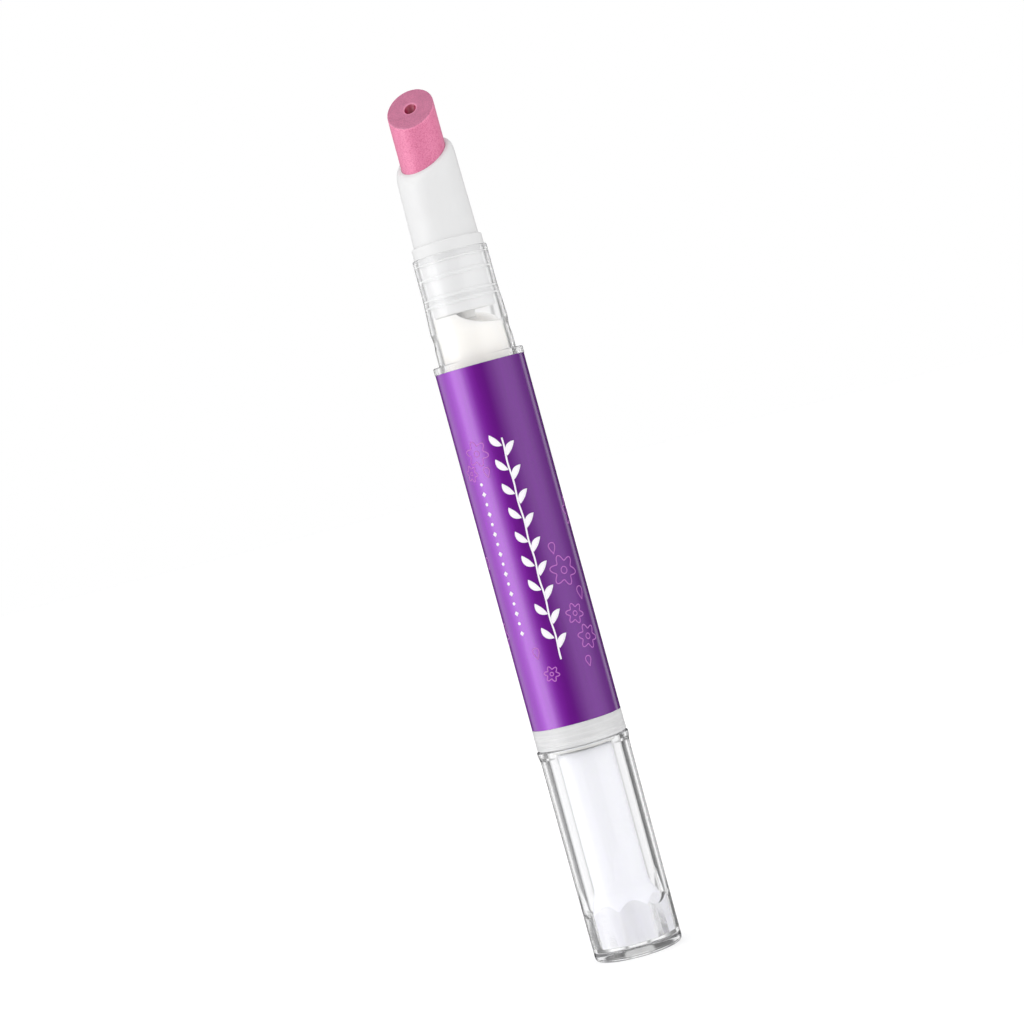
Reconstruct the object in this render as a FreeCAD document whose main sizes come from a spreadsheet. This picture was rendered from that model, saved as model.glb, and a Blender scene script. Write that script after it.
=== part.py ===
import FreeCAD, Part
import math
import os
import Sketcher

# Refillable-looking twist pen for nail oil: a clear knob at the foot turns a flatted lead screw
# through a fixed nut, and the screw pushes a piston up the clear barrel, so that oil rises through
# a feed tube to a slanted porous nib.
# The pen stands on its knob. +Z runs from the knob's base to the nib, the origin is the centre of
# the base, and the high side of the holder's slanted mouth is towards +Y. Lengths are millimetres
# and angles are degrees.

# Driving sizes: name, value, what it is.
SIZES = [
    ("knob_length", "25.7", "twist knob, base to rim"),
    ("knob_stand", "0.06", "knob wall outside the barrel's own surface, below the lip"),
    ("knob_draft", "0.1", "how much smaller the knob's radius is at its base"),
    ("knob_base_round", "0.7", "rounding of the knob's bottom edge"),
    ("knob_floor", "1.5", "thickness of the knob's closed end"),
    ("knob_wall", "1.0", "wall of the knob around its cylindrical bore"),
    ("knob_lip_height", "0.7", "raised lip at the knob's rim"),
    ("knob_lip_stand", "0.25", "how far the lip stands out from the wall"),
    ("socket_depth", "3.7", "octagonal socket in the knob's closed end"),
    ("foot_corner_gap", "0.07", "corners of the drive core's octagonal foot short of the knob's bore"),
    ("foot_height", "5.1", "octagonal foot, floor to top face"),
    ("foot_turn_angle", "14.5", "turn of the octagonal foot, so that a flat faces 8 degrees short of -Y"),
    ("foot_chamfer_height", "1.2", "height of the foot's conical chamfer at its corners"),
    ("core_shoulder_step", "0.7", "drive core, lower tube outside the upper tube"),
    ("ledge_width", "0.4", "nut's bore around the drive core's upper tube, where the ledge stands"),
    ("core_wall", "0.55", "wall of the drive core's upper tube"),
    ("core_guide_length", "6.3", "length of the flat-sided guide at the core's top"),
    ("core_groove_depth", "0.25", "clip groove in the core's upper tube"),
    ("running_clearance", "0.05", "radial clearance of turning and sliding fits"),
    ("thread_clearance", "0.12", "clearance between the screw's and the nut's threads"),
    ("end_play", "0.1", "axial play of the knob and core"),
    ("knob_gap", "0.15", "gap between the knob's rim and the collar"),
    ("collar_height", "2.55", "visible band of the collar"),
    ("collar_stand", "0.08", "collar outside the barrel's own surface"),
    ("collar_spigot_depth", "0.8", "how far the collar's spigot enters the knob"),
    ("collar_web", "0.65", "thickness of the collar's inner web"),
    ("collar_counterbore", "1.1", "depth of the seat for the nut's tail"),
    ("collar_bead_height", "0.25", "fine raised line around the collar"),
    ("collar_bead_stand", "0.05", "how far that line stands out"),
    ("ratchet_height", "1.4", "height of the tooth ring and the pawl ring"),
    ("spigot_wall", "0.45", "wall of the collar's spigot around the tooth ring"),
    ("ratchet_wall", "0.25", "wall of the tooth ring behind the teeth"),
    ("tooth_depth", "0.3", "depth of the ratchet teeth"),
    ("tooth_count", "24", "ratchet teeth"),
    ("pawl_hub_wall", "0.3", "wall of the pawl ring's hub"),
    ("pawl_arm_wall", "0.24", "thickness of a pawl's spring arm"),
    ("pawl_arm_angle", "58", "angle that a spring arm covers"),
    ("pawl_root_angle", "16", "angle of the web that carries a spring arm"),
    ("clip_height", "0.6", "thickness of the retaining clip"),
    ("clip_opening", "1.7", "mouth of the retaining clip"),
    ("drag_ring_thickness", "0.75", "section diameter of the rubber drag ring"),
    ("drag_ring_rise", "3.6", "drag ring above the retaining clip"),
    ("nut_wall", "1.0", "wall of the guide nut in the barrel"),
    ("nut_tail_step", "0.35", "tail of the guide nut in the collar, smaller than the barrel's bore"),
    ("nut_length", "12.6", "guide nut above the barrel's foot"),
    ("nut_ledge", "1.0", "ledge in the nut that the clip hooks over"),
    ("nut_thread_length", "3.5", "threaded end of the guide nut"),
    ("nut_ridge_rise", "0.9", "start of the nut's thread above the threaded end's foot"),
    ("nut_ridge_turns", "0.8", "turns of thread in the nut"),
    ("screw_lead", "2.4", "advance per turn, left-handed"),
    ("screw_gap", "0.25", "screw's thread to the drive core's bore"),
    ("thread_depth", "0.4", "depth of the screw's thread"),
    ("screw_flat_depth", "0.55", "depth of the screw's two flats"),
    ("screw_tail_gap", "0.9", "screw's tail above the knob's floor"),
    ("ridge_foot_width", "1.1", "width of the thread ridge at the root"),
    ("ridge_crest_width", "0.7", "width of the thread ridge at the crest"),
    ("pin_neck_step", "0.45", "neck of the screw's tip, smaller than the thread's root"),
    ("pin_head_step", "0.25", "head of the screw's tip, larger than its neck"),
    ("pin_neck_length", "1.0", "length of that neck"),
    ("pin_head_length", "1.2", "length of that head"),
    ("piston_height", "4.5", "piston cup, skirt to crown"),
    ("piston_crown", "1.0", "thickness of the cup's crown"),
    ("piston_waist_depth", "0.35", "recess between the cup's two lips"),
    ("piston_lip_height", "0.8", "height of each sealing lip"),
    ("piston_cup_wall", "1.35", "wall of the cup around its core, at the waist"),
    ("piston_core_lip", "0.5", "lip that holds the head of the screw"),
    ("piston_gap", "0.3", "piston above the nut when the pen is full"),
    ("barrel_radius", "5.34", "barrel under the label"),
    ("barrel_wall", "1.34", "wall of the barrel under the label"),
    ("label_length", "43.4", "label sleeve along the pen"),
    ("label_thickness", "0.06", "label film"),
    ("shoulder_height", "0.85", "ring above the label"),
    ("shoulder_stand", "0.11", "that ring outside the barrel's own surface"),
    ("neck_length", "12.75", "neck above the shoulder ring"),
    ("neck_wall", "0.5", "wall of the straight upper neck, where a cap seats"),
    ("neck_seat_length", "4.9", "length of the straight upper neck"),
    ("neck_band_stand", "0.18", "lower band outside the upper neck"),
    ("neck_band_length", "4.35", "lower band, shoulder to the start of the taper"),
    ("snap_groove_rise", "2.75", "middle of the snap groove above the shoulder ring"),
    ("snap_groove_width", "1.0", "width of the snap groove"),
    ("snap_groove_depth", "0.16", "depth of the snap groove"),
    ("plug_depth", "7.3", "holder's plug in the neck"),
    ("plug_rib_stand", "0.3", "sealing ribs, plug to bore"),
    ("plug_rib_height", "0.55", "height of a sealing rib"),
    ("plug_rib_low", "1.45", "lowest rib above the plug's end"),
    ("plug_rib_mid", "2.3", "middle rib above the plug's end"),
    ("plug_rib_high", "4.7", "top rib above the plug's end"),
    ("flange_height", "1.6", "flange of the nib holder"),
    ("flange_inset", "0.25", "flange smaller than the upper neck"),
    ("flange_round", "0.25", "rounding of the flange's top edge"),
    ("mouth_height", "10.3", "holder's mouth on the axis, above the flange"),
    ("mouth_angle", "36", "slant of the mouth from level"),
    ("mouth_round", "0.35", "rounding of the mouth's lip"),
    ("flange_width", "0.32", "flange around the holder's foot"),
    ("holder_taper", "0.15", "how much the holder's radius falls from flange to mouth"),
    ("holder_wall", "0.86", "wall of the holder at its mouth"),
    ("nib_seat_depth", "7.3", "nib's seat below the mouth on the axis"),
    ("nib_projection", "5.7", "nib's face on the axis, above the mouth"),
    ("nib_angle", "41", "slant of the nib's face from level"),
    ("nib_turn_angle", "17", "turn of the nib's slant from the mouth's"),
    ("nib_hole_radius", "0.7", "outlet in the nib's face"),
    ("nib_edge_round", "0.2", "rounding of the nib's edge"),
    ("nib_clearance", "0.02", "nib in its seat, all round"),
    ("tube_radius", "1.1", "feed tube outside"),
    ("tube_bore_radius", "0.5", "feed tube bore"),
    ("tube_dip", "0.8", "feed tube below the plug"),
    ("tube_rise", "1.5", "feed tube above the nib's seat"),
    ("stop_gap", "0.3", "piston short of the feed tube when empty"),
    ("air_fall", "2.1", "how far the oil's surface falls across the air bubble"),
    ("air_start", "1.1", "start of the air bubble, left of the axis"),
    ("air_turn_angle", "29", "direction of the air bubble's high side from +X"),
    ("oil_clearance", "0.05", "oil drawn short of its walls"),
    ("cut_overrun", "2", "how far cutting shapes run past what they cut"),
]

document = FreeCAD.newDocument("nail_oil_pen")
size = document.addObject("Spreadsheet::Sheet", "size")
for row, (alias, number, meaning) in enumerate(SIZES, start=1):
    size.set(f"A{row}", meaning)
    size.set(f"B{row}", number)
    size.setAlias(f"B{row}", alias)
document.recompute()

# Radii, as expressions of the driving sizes: each piece is as wide as its neighbour allows.
BORE = "(size.barrel_radius - size.barrel_wall)"
COLLAR_RADIUS = "(size.barrel_radius + size.collar_stand)"
SHOULDER_RADIUS = "(size.barrel_radius + size.shoulder_stand)"
KNOB_RADIUS = "(size.barrel_radius + size.knob_stand)"
KNOB_BORE = f"({KNOB_RADIUS} - size.knob_wall)"
SPIGOT_RADIUS = f"({KNOB_BORE} - size.running_clearance)"
RATCHET_RADIUS = f"({SPIGOT_RADIUS} - size.spigot_wall)"
TOOTH_ROOT = f"({RATCHET_RADIUS} - size.ratchet_wall)"
TOOTH_TIP = f"({TOOTH_ROOT} - size.tooth_depth)"
FOOT_CORNER = f"({KNOB_BORE} - size.foot_corner_gap)"
FOOT_FLAT = f"({FOOT_CORNER} * cos(180 deg / 8))"
NUT_BORE = f"({BORE} - size.nut_wall)"
NUT_TAIL = f"({BORE} - size.nut_tail_step)"
CORE_NECK = f"({NUT_BORE} - size.ledge_width)"
CORE_TUBE = f"({CORE_NECK} + size.core_shoulder_step)"
CORE_BORE = f"({CORE_NECK} - size.core_wall)"
SCREW_CREST = f"({CORE_BORE} - size.screw_gap)"
SCREW_ROOT = f"({SCREW_CREST} - size.thread_depth)"
SCREW_FLAT = f"({SCREW_CREST} - size.screw_flat_depth)"
PIN_NECK = f"({SCREW_ROOT} - size.pin_neck_step)"
PIN_HEAD = f"({PIN_NECK} + size.pin_head_step)"
PISTON_WAIST = f"({BORE} - size.piston_waist_depth)"
PISTON_CORE = f"({PISTON_WAIST} - size.piston_cup_wall)"
NECK_RADIUS = f"({BORE} + size.neck_wall)"
NECK_BAND = f"({NECK_RADIUS} + size.neck_band_stand)"
PLUG_RADIUS = f"({BORE} - size.plug_rib_stand)"
FLANGE_RADIUS = f"({NECK_RADIUS} - size.flange_inset)"
HOLDER_FOOT = f"({FLANGE_RADIUS} - size.flange_width)"
HOLDER_TOP = f"({HOLDER_FOOT} - size.holder_taper)"
NIB_SEAT_RADIUS = f"({HOLDER_TOP} - size.holder_wall)"
NIB_RADIUS = f"({NIB_SEAT_RADIUS} - size.nib_clearance)"

# Levels along the pen, as expressions of the driving sizes.
CORE_FOOT = "size.knob_floor"
SOCKET_TOP = f"({CORE_FOOT} + size.socket_depth)"
FOOT_TOP = f"({CORE_FOOT} + size.foot_height)"
RIM = "size.knob_length"
COLLAR_FOOT = f"({RIM} + size.knob_gap)"
BARREL_FOOT = f"({COLLAR_FOOT} + size.collar_height)"
SPIGOT_FOOT = f"({COLLAR_FOOT} - size.collar_spigot_depth)"
WEB_TOP = f"({BARREL_FOOT} - size.collar_counterbore)"
WEB_FOOT = f"({WEB_TOP} - size.collar_web)"
CORE_SHOULDER = f"({WEB_FOOT} - size.end_play - size.ratchet_height)"
LEDGE_TOP = f"({BARREL_FOOT} + size.nut_ledge)"
CLIP_FOOT = f"({LEDGE_TOP} + size.end_play)"
CLIP_TOP = f"({CLIP_FOOT} + size.clip_height)"
LABEL_TOP = f"({BARREL_FOOT} + size.label_length)"
SHOULDER_TOP = f"({LABEL_TOP} + size.shoulder_height)"
NECK_TOP = f"({SHOULDER_TOP} + size.neck_length)"
PLUG_FOOT = f"({NECK_TOP} - size.plug_depth)"
FLANGE_TOP = f"({NECK_TOP} + size.flange_height)"
MOUTH = f"({FLANGE_TOP} + size.mouth_height)"
NIB_SEAT = f"({MOUTH} - size.nib_seat_depth)"
NIB_FACE = f"({MOUTH} + size.nib_projection)"
NUT_TOP = f"({BARREL_FOOT} + size.nut_length)"
PISTON_FOOT = f"({NUT_TOP} + size.piston_gap)"
PISTON_TOP = f"({PISTON_FOOT} + size.piston_height)"
TRAVEL = f"({PLUG_FOOT} - size.tube_dip - size.stop_gap - {PISTON_TOP})"
THREAD_FOOT = f"({NUT_TOP} - size.nut_thread_length)"
CORE_TOP = f"({THREAD_FOOT} - size.end_play - size.end_play)"
SCREW_TAIL = f"({CORE_FOOT} + size.screw_tail_gap)"
PIN_FOOT = f"({NUT_TOP} - size.end_play)"
PIN_HEAD_FOOT = f"({PIN_FOOT} + size.pin_neck_length)"
PIN_TOP = f"({PIN_HEAD_FOOT} + size.pin_head_length)"

# The sketcher's own name for a sketch's origin: geometry and point.
ORIGIN_POINT = (-1, 1)
MATCH_TOLERANCE = 1e-4


def number(text):
    """The value of an expression of the sheet's sizes."""
    return float(size.evalExpression(text))


def origin_plane(body, role):
    """One of a body's own origin planes."""
    return next(plane for plane in body.Origin.OriginFeatures if plane.Role == role)


def draw_outline(sketch, corners):
    """Closed run of straight lines through corners, each held at two sheet expressions."""
    points = [FreeCAD.Vector(number(across), number(up), 0) for across, up in corners]
    count = len(points)
    for index in range(count):
        line = Part.LineSegment(points[index], points[(index + 1) % count])
        sketch.addGeometry(line, False)
    for index in range(count):
        following = (index + 1) % count
        sketch.addConstraint(Sketcher.Constraint("Coincident", index, 2, following, 1))
    for index, (across, up) in enumerate(corners):
        if across == "0":
            # Geometry -2 is the sketch's upright axis.
            sketch.addConstraint(Sketcher.Constraint("PointOnObject", index, 1, -2))
        else:
            place = Sketcher.Constraint("DistanceX", *ORIGIN_POINT, index, 1, points[index].x)
            held = sketch.addConstraint(place)
            sketch.setExpression(f"Constraints[{held}]", across)
        place = Sketcher.Constraint("DistanceY", *ORIGIN_POINT, index, 1, points[index].y)
        held = sketch.addConstraint(place)
        if up != "0":
            sketch.setExpression(f"Constraints[{held}]", up)


def body_sketch(body, role, corners):
    """A sketch of an outline on one of a body's origin planes."""
    sketch = body.newObject("Sketcher::SketchObject", body.Name + "_outline")
    sketch.AttachmentSupport = (origin_plane(body, role), [""])
    sketch.MapMode = "FlatFace"
    draw_outline(sketch, corners)
    return sketch


def turned_body(label, corners):
    """A body turned about Z from (radius, height) corners."""
    body = document.addObject("PartDesign::Body", label)
    body.Label = label
    sketch = body_sketch(body, "XZ_Plane", corners)
    turned = body.newObject("PartDesign::Revolution", label + "_turned")
    turned.Profile = sketch
    turned.ReferenceAxis = (sketch, ["V_Axis"])
    turned.Angle = 360
    document.recompute()
    return body


def cut_through(body, role, corners):
    """Removes an outline on an origin plane from a body, right through it both ways."""
    before = body.Shape.Volume
    sketch = body_sketch(body, role, corners)
    pocket = body.newObject("PartDesign::Pocket", body.Name + "_cut")
    pocket.Profile = sketch
    pocket.Type = "ThroughAll"
    pocket.Midplane = True
    document.recompute()
    if body.Shape.Volume >= before:
        raise RuntimeError(f"the cut in {body.Label} removed nothing")
    return pocket


def round_edges(body, edges, radius):
    """Rounds the given edges of a body by a sheet expression."""
    rounded = body.Tip
    rounding = body.newObject("PartDesign::Fillet", body.Name + "_round")
    rounding.Base = (rounded, edges)
    rounding.setExpression("Radius", radius)
    document.recompute()
    return rounding


def circles_at(shape, radius, height):
    """Names of the circular edges of a given radius and height."""
    found = []
    for index, edge in enumerate(shape.Edges, start=1):
        if not isinstance(edge.Curve, Part.Circle):
            continue
        same_radius = abs(edge.Curve.Radius - number(radius)) < MATCH_TOLERANCE
        same_height = abs(edge.Curve.Center.z - number(height)) < MATCH_TOLERANCE
        if same_radius and same_height:
            found.append(f"Edge{index}")
    return found


def slanted_edges(shape, least_radius):
    """Names of the edges, outside a radius, of the one plane face that is neither level nor upright."""
    for face in shape.Faces:
        if not isinstance(face.Surface, Part.Plane):
            continue
        lean = abs(face.Surface.Axis.z)
        if 0.1 < lean < 0.95:
            rims = [edge for edge in face.Edges if edge.BoundBox.XMax > least_radius]
            return [
                f"Edge{index}"
                for index, edge in enumerate(shape.Edges, start=1)
                if any(edge.isSame(rim) for rim in rims)
            ]
    return []


def primitive(kind, label, foot="0", **sizes):
    """A Part primitive with its sizes and its height bound to expressions."""
    item = document.addObject(kind, label)
    for name, text in sizes.items():
        item.setExpression(name, text)
    if foot != "0":
        item.setExpression("Placement.Base.z", foot)
    return item


def turn_about_z(item, angle):
    """Turns an object about Z by a sheet expression."""
    turn = FreeCAD.Rotation(FreeCAD.Vector(0, 0, 1), 1)
    item.Placement = FreeCAD.Placement(item.Placement.Base, turn)
    item.setExpression("Placement.Rotation.Angle", angle)


def centred_box(label, foot, width, depth, height):
    """A box centred on Z, standing at a height."""
    block = primitive("Part::Box", label, foot, Length=width, Width=depth, Height=height)
    block.setExpression("Placement.Base.x", f"-({width}) / 2")
    block.setExpression("Placement.Base.y", f"-({depth}) / 2")
    return block


def combine(kind, label, base, tool):
    """Cut or Common of two objects."""
    result = document.addObject(kind, label)
    result.Base = base
    result.Tool = tool
    result.Label = label
    return result


def join(label, pieces):
    """One solid of several objects."""
    result = document.addObject("Part::MultiFuse", label)
    result.Shapes = pieces
    result.Label = label
    return result


def helical_ridge(label, foot, turns, inner, outer, inner_width, outer_width):
    """A left-handed ridge of trapezoid section, swept along a helix about Z."""
    path = primitive("Part::Helix", label + "_path", foot, Pitch="size.screw_lead", Radius=outer)
    path.setExpression("Height", f"size.screw_lead * ({turns})")
    path.LocalCoord = "Left-handed"
    path.SegmentLength = 1
    section = document.addObject("Sketcher::SketchObject", label + "_section")
    upright = FreeCAD.Rotation(FreeCAD.Vector(1, 0, 0), 90)
    section.Placement = FreeCAD.Placement(FreeCAD.Vector(0, 0, 0), upright)
    corners = [
        (inner, f"{foot} - ({inner_width}) / 2"),
        (outer, f"{foot} - ({outer_width}) / 2"),
        (outer, f"{foot} + ({outer_width}) / 2"),
        (inner, f"{foot} + ({inner_width}) / 2"),
    ]
    draw_outline(section, corners)
    ridge = document.addObject("Part::Sweep", label)
    document.recompute()
    ridge.Sections = [section]
    ridge.Spine = (path, [])
    ridge.Solid = True
    ridge.Frenet = True
    ridge.Transition = "Transformed"
    return ridge


def twist_knob():
    """Clear cup with a drafted wall, a lip at the rim and an octagonal socket in its thick floor."""
    base_radius = f"{KNOB_RADIUS} - size.knob_draft"
    lip_radius = f"{KNOB_RADIUS} + size.knob_lip_stand"
    lip_foot = f"{RIM} - size.knob_lip_height"
    shell = turned_body("knob_shell", [
        ("0", "0"),
        (base_radius, "0"),
        (KNOB_RADIUS, lip_foot),
        (lip_radius, lip_foot),
        (lip_radius, RIM),
        (KNOB_BORE, RIM),
        (KNOB_BORE, SOCKET_TOP),
        ("0", SOCKET_TOP),
    ])
    round_edges(shell, circles_at(shell.Shape, base_radius, "0"), "size.knob_base_round")
    socket = primitive(
        "Part::Prism", "knob_socket", CORE_FOOT,
        Circumradius=f"({FOOT_FLAT} + size.running_clearance) / cos(180 deg / 8)",
        Height="size.socket_depth + size.cut_overrun",
    )
    socket.Polygon = 8
    turn_about_z(socket, "size.foot_turn_angle")
    return combine("Part::Cut", "twist_knob", shell, socket)


def drive_core():
    """Tube with an octagonal foot that the knob turns and flat sides at its top that turn the screw."""
    prism = primitive(
        "Part::Prism", "foot_prism", CORE_FOOT, Circumradius=FOOT_CORNER, Height="size.foot_height",
    )
    prism.Polygon = 8
    turn_about_z(prism, "size.foot_turn_angle")
    blank = turned_body("foot_blank", [
        ("0", CORE_FOOT),
        (FOOT_CORNER, CORE_FOOT),
        (FOOT_CORNER, f"{FOOT_TOP} - size.foot_chamfer_height"),
        (FOOT_FLAT, FOOT_TOP),
        ("0", FOOT_TOP),
    ])
    foot = combine("Part::Common", "core_foot", prism, blank)
    bore = primitive(
        "Part::Cylinder", "foot_bore", f"{CORE_FOOT} - size.cut_overrun",
        Radius=CORE_BORE, Height="size.foot_height + size.cut_overrun * 2",
    )
    ring = combine("Part::Cut", "core_foot_ring", foot, bore)
    groove_floor = f"{CORE_NECK} - size.core_groove_depth"
    drag_floor = f"{NUT_BORE} - size.running_clearance - size.drag_ring_thickness"
    drag_level = f"({CLIP_TOP} + size.drag_ring_rise)"
    drag_foot = f"({drag_level} - size.drag_ring_thickness / 2 - size.end_play)"
    drag_top = f"({drag_level} + size.drag_ring_thickness / 2 + size.end_play)"
    guide_foot = f"({CORE_TOP} - size.core_guide_length)"
    tube = turned_body("core_tube", [
        (CORE_BORE, FOOT_TOP),
        (CORE_TUBE, FOOT_TOP),
        (CORE_TUBE, CORE_SHOULDER),
        (CORE_NECK, CORE_SHOULDER),
        (CORE_NECK, CLIP_FOOT),
        (groove_floor, CLIP_FOOT),
        (groove_floor, CLIP_TOP),
        (CORE_NECK, CLIP_TOP),
        (CORE_NECK, drag_foot),
        (drag_floor, drag_foot),
        (drag_floor, drag_top),
        (CORE_NECK, drag_top),
        (CORE_NECK, CORE_TOP),
        ("0", CORE_TOP),
        ("0", guide_foot),
        (CORE_BORE, guide_foot),
    ])
    whole = join("core_whole", [ring, tube])
    round_hole = primitive(
        "Part::Cylinder", "guide_round", f"{guide_foot} - size.cut_overrun",
        Radius=f"{SCREW_CREST} + size.thread_clearance",
        Height="size.core_guide_length + size.cut_overrun * 2",
    )
    flat_hole = centred_box(
        "guide_flats", f"{guide_foot} - size.cut_overrun",
        f"{SCREW_CREST} * 4", f"({SCREW_FLAT} + size.thread_clearance) * 2",
        "size.core_guide_length + size.cut_overrun * 2",
    )
    hole = combine("Part::Common", "guide_hole", round_hole, flat_hole)
    return combine("Part::Cut", "drive_core", whole, hole)


def end_collar():
    """Frosted ring between knob and barrel, with a spigot in the knob and seats on both sides of a web."""
    bead_radius = f"{COLLAR_RADIUS} + size.collar_bead_stand"
    bead_foot = f"{COLLAR_FOOT} + size.collar_bead_height"
    bead_top = f"{COLLAR_FOOT} + size.collar_bead_height * 2"
    return turned_body("end_collar", [
        (RATCHET_RADIUS, SPIGOT_FOOT),
        (SPIGOT_RADIUS, SPIGOT_FOOT),
        (SPIGOT_RADIUS, COLLAR_FOOT),
        (COLLAR_RADIUS, COLLAR_FOOT),
        (COLLAR_RADIUS, bead_foot),
        (bead_radius, bead_foot),
        (bead_radius, bead_top),
        (COLLAR_RADIUS, bead_top),
        (COLLAR_RADIUS, BARREL_FOOT),
        (NUT_TAIL, BARREL_FOOT),
        (NUT_TAIL, WEB_TOP),
        (f"{CORE_NECK} + size.running_clearance", WEB_TOP),
        (f"{CORE_NECK} + size.running_clearance", WEB_FOOT),
        (RATCHET_RADIUS, WEB_FOOT),
    ])


def ratchet_ring():
    """Ring with saw teeth inside, pressed into the collar under its web."""
    ring = turned_body("ratchet_ring", [
        (TOOTH_TIP, f"{WEB_FOOT} - size.ratchet_height"),
        (RATCHET_RADIUS, f"{WEB_FOOT} - size.ratchet_height"),
        (RATCHET_RADIUS, WEB_FOOT),
        (TOOTH_TIP, WEB_FOOT),
    ])
    half_gap = f"{TOOTH_TIP} * tan(180 deg / size.tooth_count) * 0.8"
    before = ring.Shape.Volume
    notch = body_sketch(ring, "XY_Plane", [
        (f"{TOOTH_TIP} - size.running_clearance", f"-({half_gap})"),
        (TOOTH_ROOT, f"-({half_gap})"),
        (TOOTH_ROOT, "0"),
        (f"{TOOTH_TIP} - size.running_clearance", half_gap),
    ])
    gap = ring.newObject("PartDesign::Pocket", "tooth_gap")
    gap.Profile = notch
    gap.Type = "ThroughAll"
    gap.Midplane = True
    document.recompute()
    teeth = ring.newObject("PartDesign::PolarPattern", "tooth_gaps")
    teeth.Originals = [gap]
    teeth.Axis = (notch, ["N_Axis"])
    teeth.Angle = 360
    teeth.setExpression("Occurrences", "size.tooth_count")
    ring.Tip = teeth
    document.recompute()
    if ring.Shape.Volume >= before:
        raise RuntimeError("the ratchet ring has no teeth")
    return ring


def pawl_ring():
    """Hub on the drive core with two curved spring arms, whose tips stop just short of the teeth."""
    hub_radius = f"{CORE_NECK} + size.pawl_hub_wall"
    tip_radius = f"{TOOTH_TIP} - size.running_clearance"
    hub = primitive(
        "Part::Cylinder", "pawl_hub", CORE_SHOULDER, Radius=hub_radius, Height="size.ratchet_height",
    )
    pieces = [hub]
    for name, turn in (("first", 0), ("second", 180)):
        rotation = FreeCAD.Rotation(FreeCAD.Vector(0, 0, 1), turn)
        arm = primitive(
            "Part::Cylinder", f"{name}_arm_disc", CORE_SHOULDER, Radius=tip_radius,
            Height="size.ratchet_height", Angle="size.pawl_arm_angle",
        )
        arm.Placement.Rotation = rotation
        relief = primitive(
            "Part::Cylinder", f"{name}_arm_relief", f"{CORE_SHOULDER} - size.cut_overrun",
            Radius=f"{tip_radius} - size.pawl_arm_wall",
            Height="size.ratchet_height + size.cut_overrun * 2",
        )
        root = primitive(
            "Part::Cylinder", f"{name}_arm_root", CORE_SHOULDER, Radius=tip_radius,
            Height="size.ratchet_height", Angle="size.pawl_root_angle",
        )
        root.Placement.Rotation = rotation
        pieces += [combine("Part::Cut", f"{name}_arm", arm, relief), root]
    joined = join("pawl_joined", pieces)
    bore = primitive(
        "Part::Cylinder", "pawl_bore", f"{CORE_SHOULDER} - size.cut_overrun",
        Radius=CORE_NECK, Height="size.ratchet_height + size.cut_overrun * 2",
    )
    return combine("Part::Cut", "pawl_ring", joined, bore)


def retaining_clip():
    """Open clip in the core's groove, hooked over the nut's ledge."""
    disc = primitive(
        "Part::Cylinder", "clip_disc", CLIP_FOOT,
        Radius=f"{NUT_BORE} - size.running_clearance", Height="size.clip_height",
    )
    bore = primitive(
        "Part::Cylinder", "clip_bore", f"{CLIP_FOOT} - size.cut_overrun",
        Radius=f"{CORE_NECK} - size.core_groove_depth",
        Height="size.clip_height + size.cut_overrun * 2",
    )
    ring = combine("Part::Cut", "clip_ring", disc, bore)
    mouth = primitive(
        "Part::Box", "clip_mouth", f"{CLIP_FOOT} - size.cut_overrun",
        Length=f"{NUT_BORE} + size.cut_overrun", Width="size.clip_opening",
        Height="size.clip_height + size.cut_overrun * 2",
    )
    mouth.setExpression("Placement.Base.y", "-size.clip_opening / 2")
    return combine("Part::Cut", "retaining_clip", ring, mouth)


def drag_ring():
    """Rubber ring in the core's groove that gives the knob its smooth drag."""
    section_radius = "size.drag_ring_thickness / 2"
    ring = primitive(
        "Part::Torus", "drag_ring", f"{CLIP_TOP} + size.drag_ring_rise",
        Radius1=f"{NUT_BORE} - size.running_clearance - {section_radius}",
        Radius2=section_radius,
    )
    ring.Label = "drag_ring"
    return ring


def guide_nut():
    """Tube fixed in the barrel's foot, with a ledge for the clip and a short left-hand thread on top."""
    thread_bore = f"{SCREW_CREST} + size.thread_clearance"
    tube = turned_body("nut_tube", [
        (f"{CORE_NECK} + size.running_clearance", WEB_TOP),
        (NUT_TAIL, WEB_TOP),
        (NUT_TAIL, BARREL_FOOT),
        (BORE, BARREL_FOOT),
        (BORE, NUT_TOP),
        (thread_bore, NUT_TOP),
        (thread_bore, THREAD_FOOT),
        (NUT_BORE, THREAD_FOOT),
        (NUT_BORE, LEDGE_TOP),
        (f"{CORE_NECK} + size.running_clearance", LEDGE_TOP),
    ])
    # The ridge runs in the screw's groove, half a lead from the screw's own ridge.
    foot_width = "size.screw_lead - size.ridge_foot_width - size.thread_clearance * 2"
    ridge = helical_ridge(
        "nut_ridge", f"({THREAD_FOOT} + size.nut_ridge_rise)", "size.nut_ridge_turns",
        f"{thread_bore} + size.thread_clearance", f"{SCREW_ROOT} + size.thread_clearance",
        foot_width, "size.ridge_crest_width",
    )
    return join("guide_nut", [tube, ridge])


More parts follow.
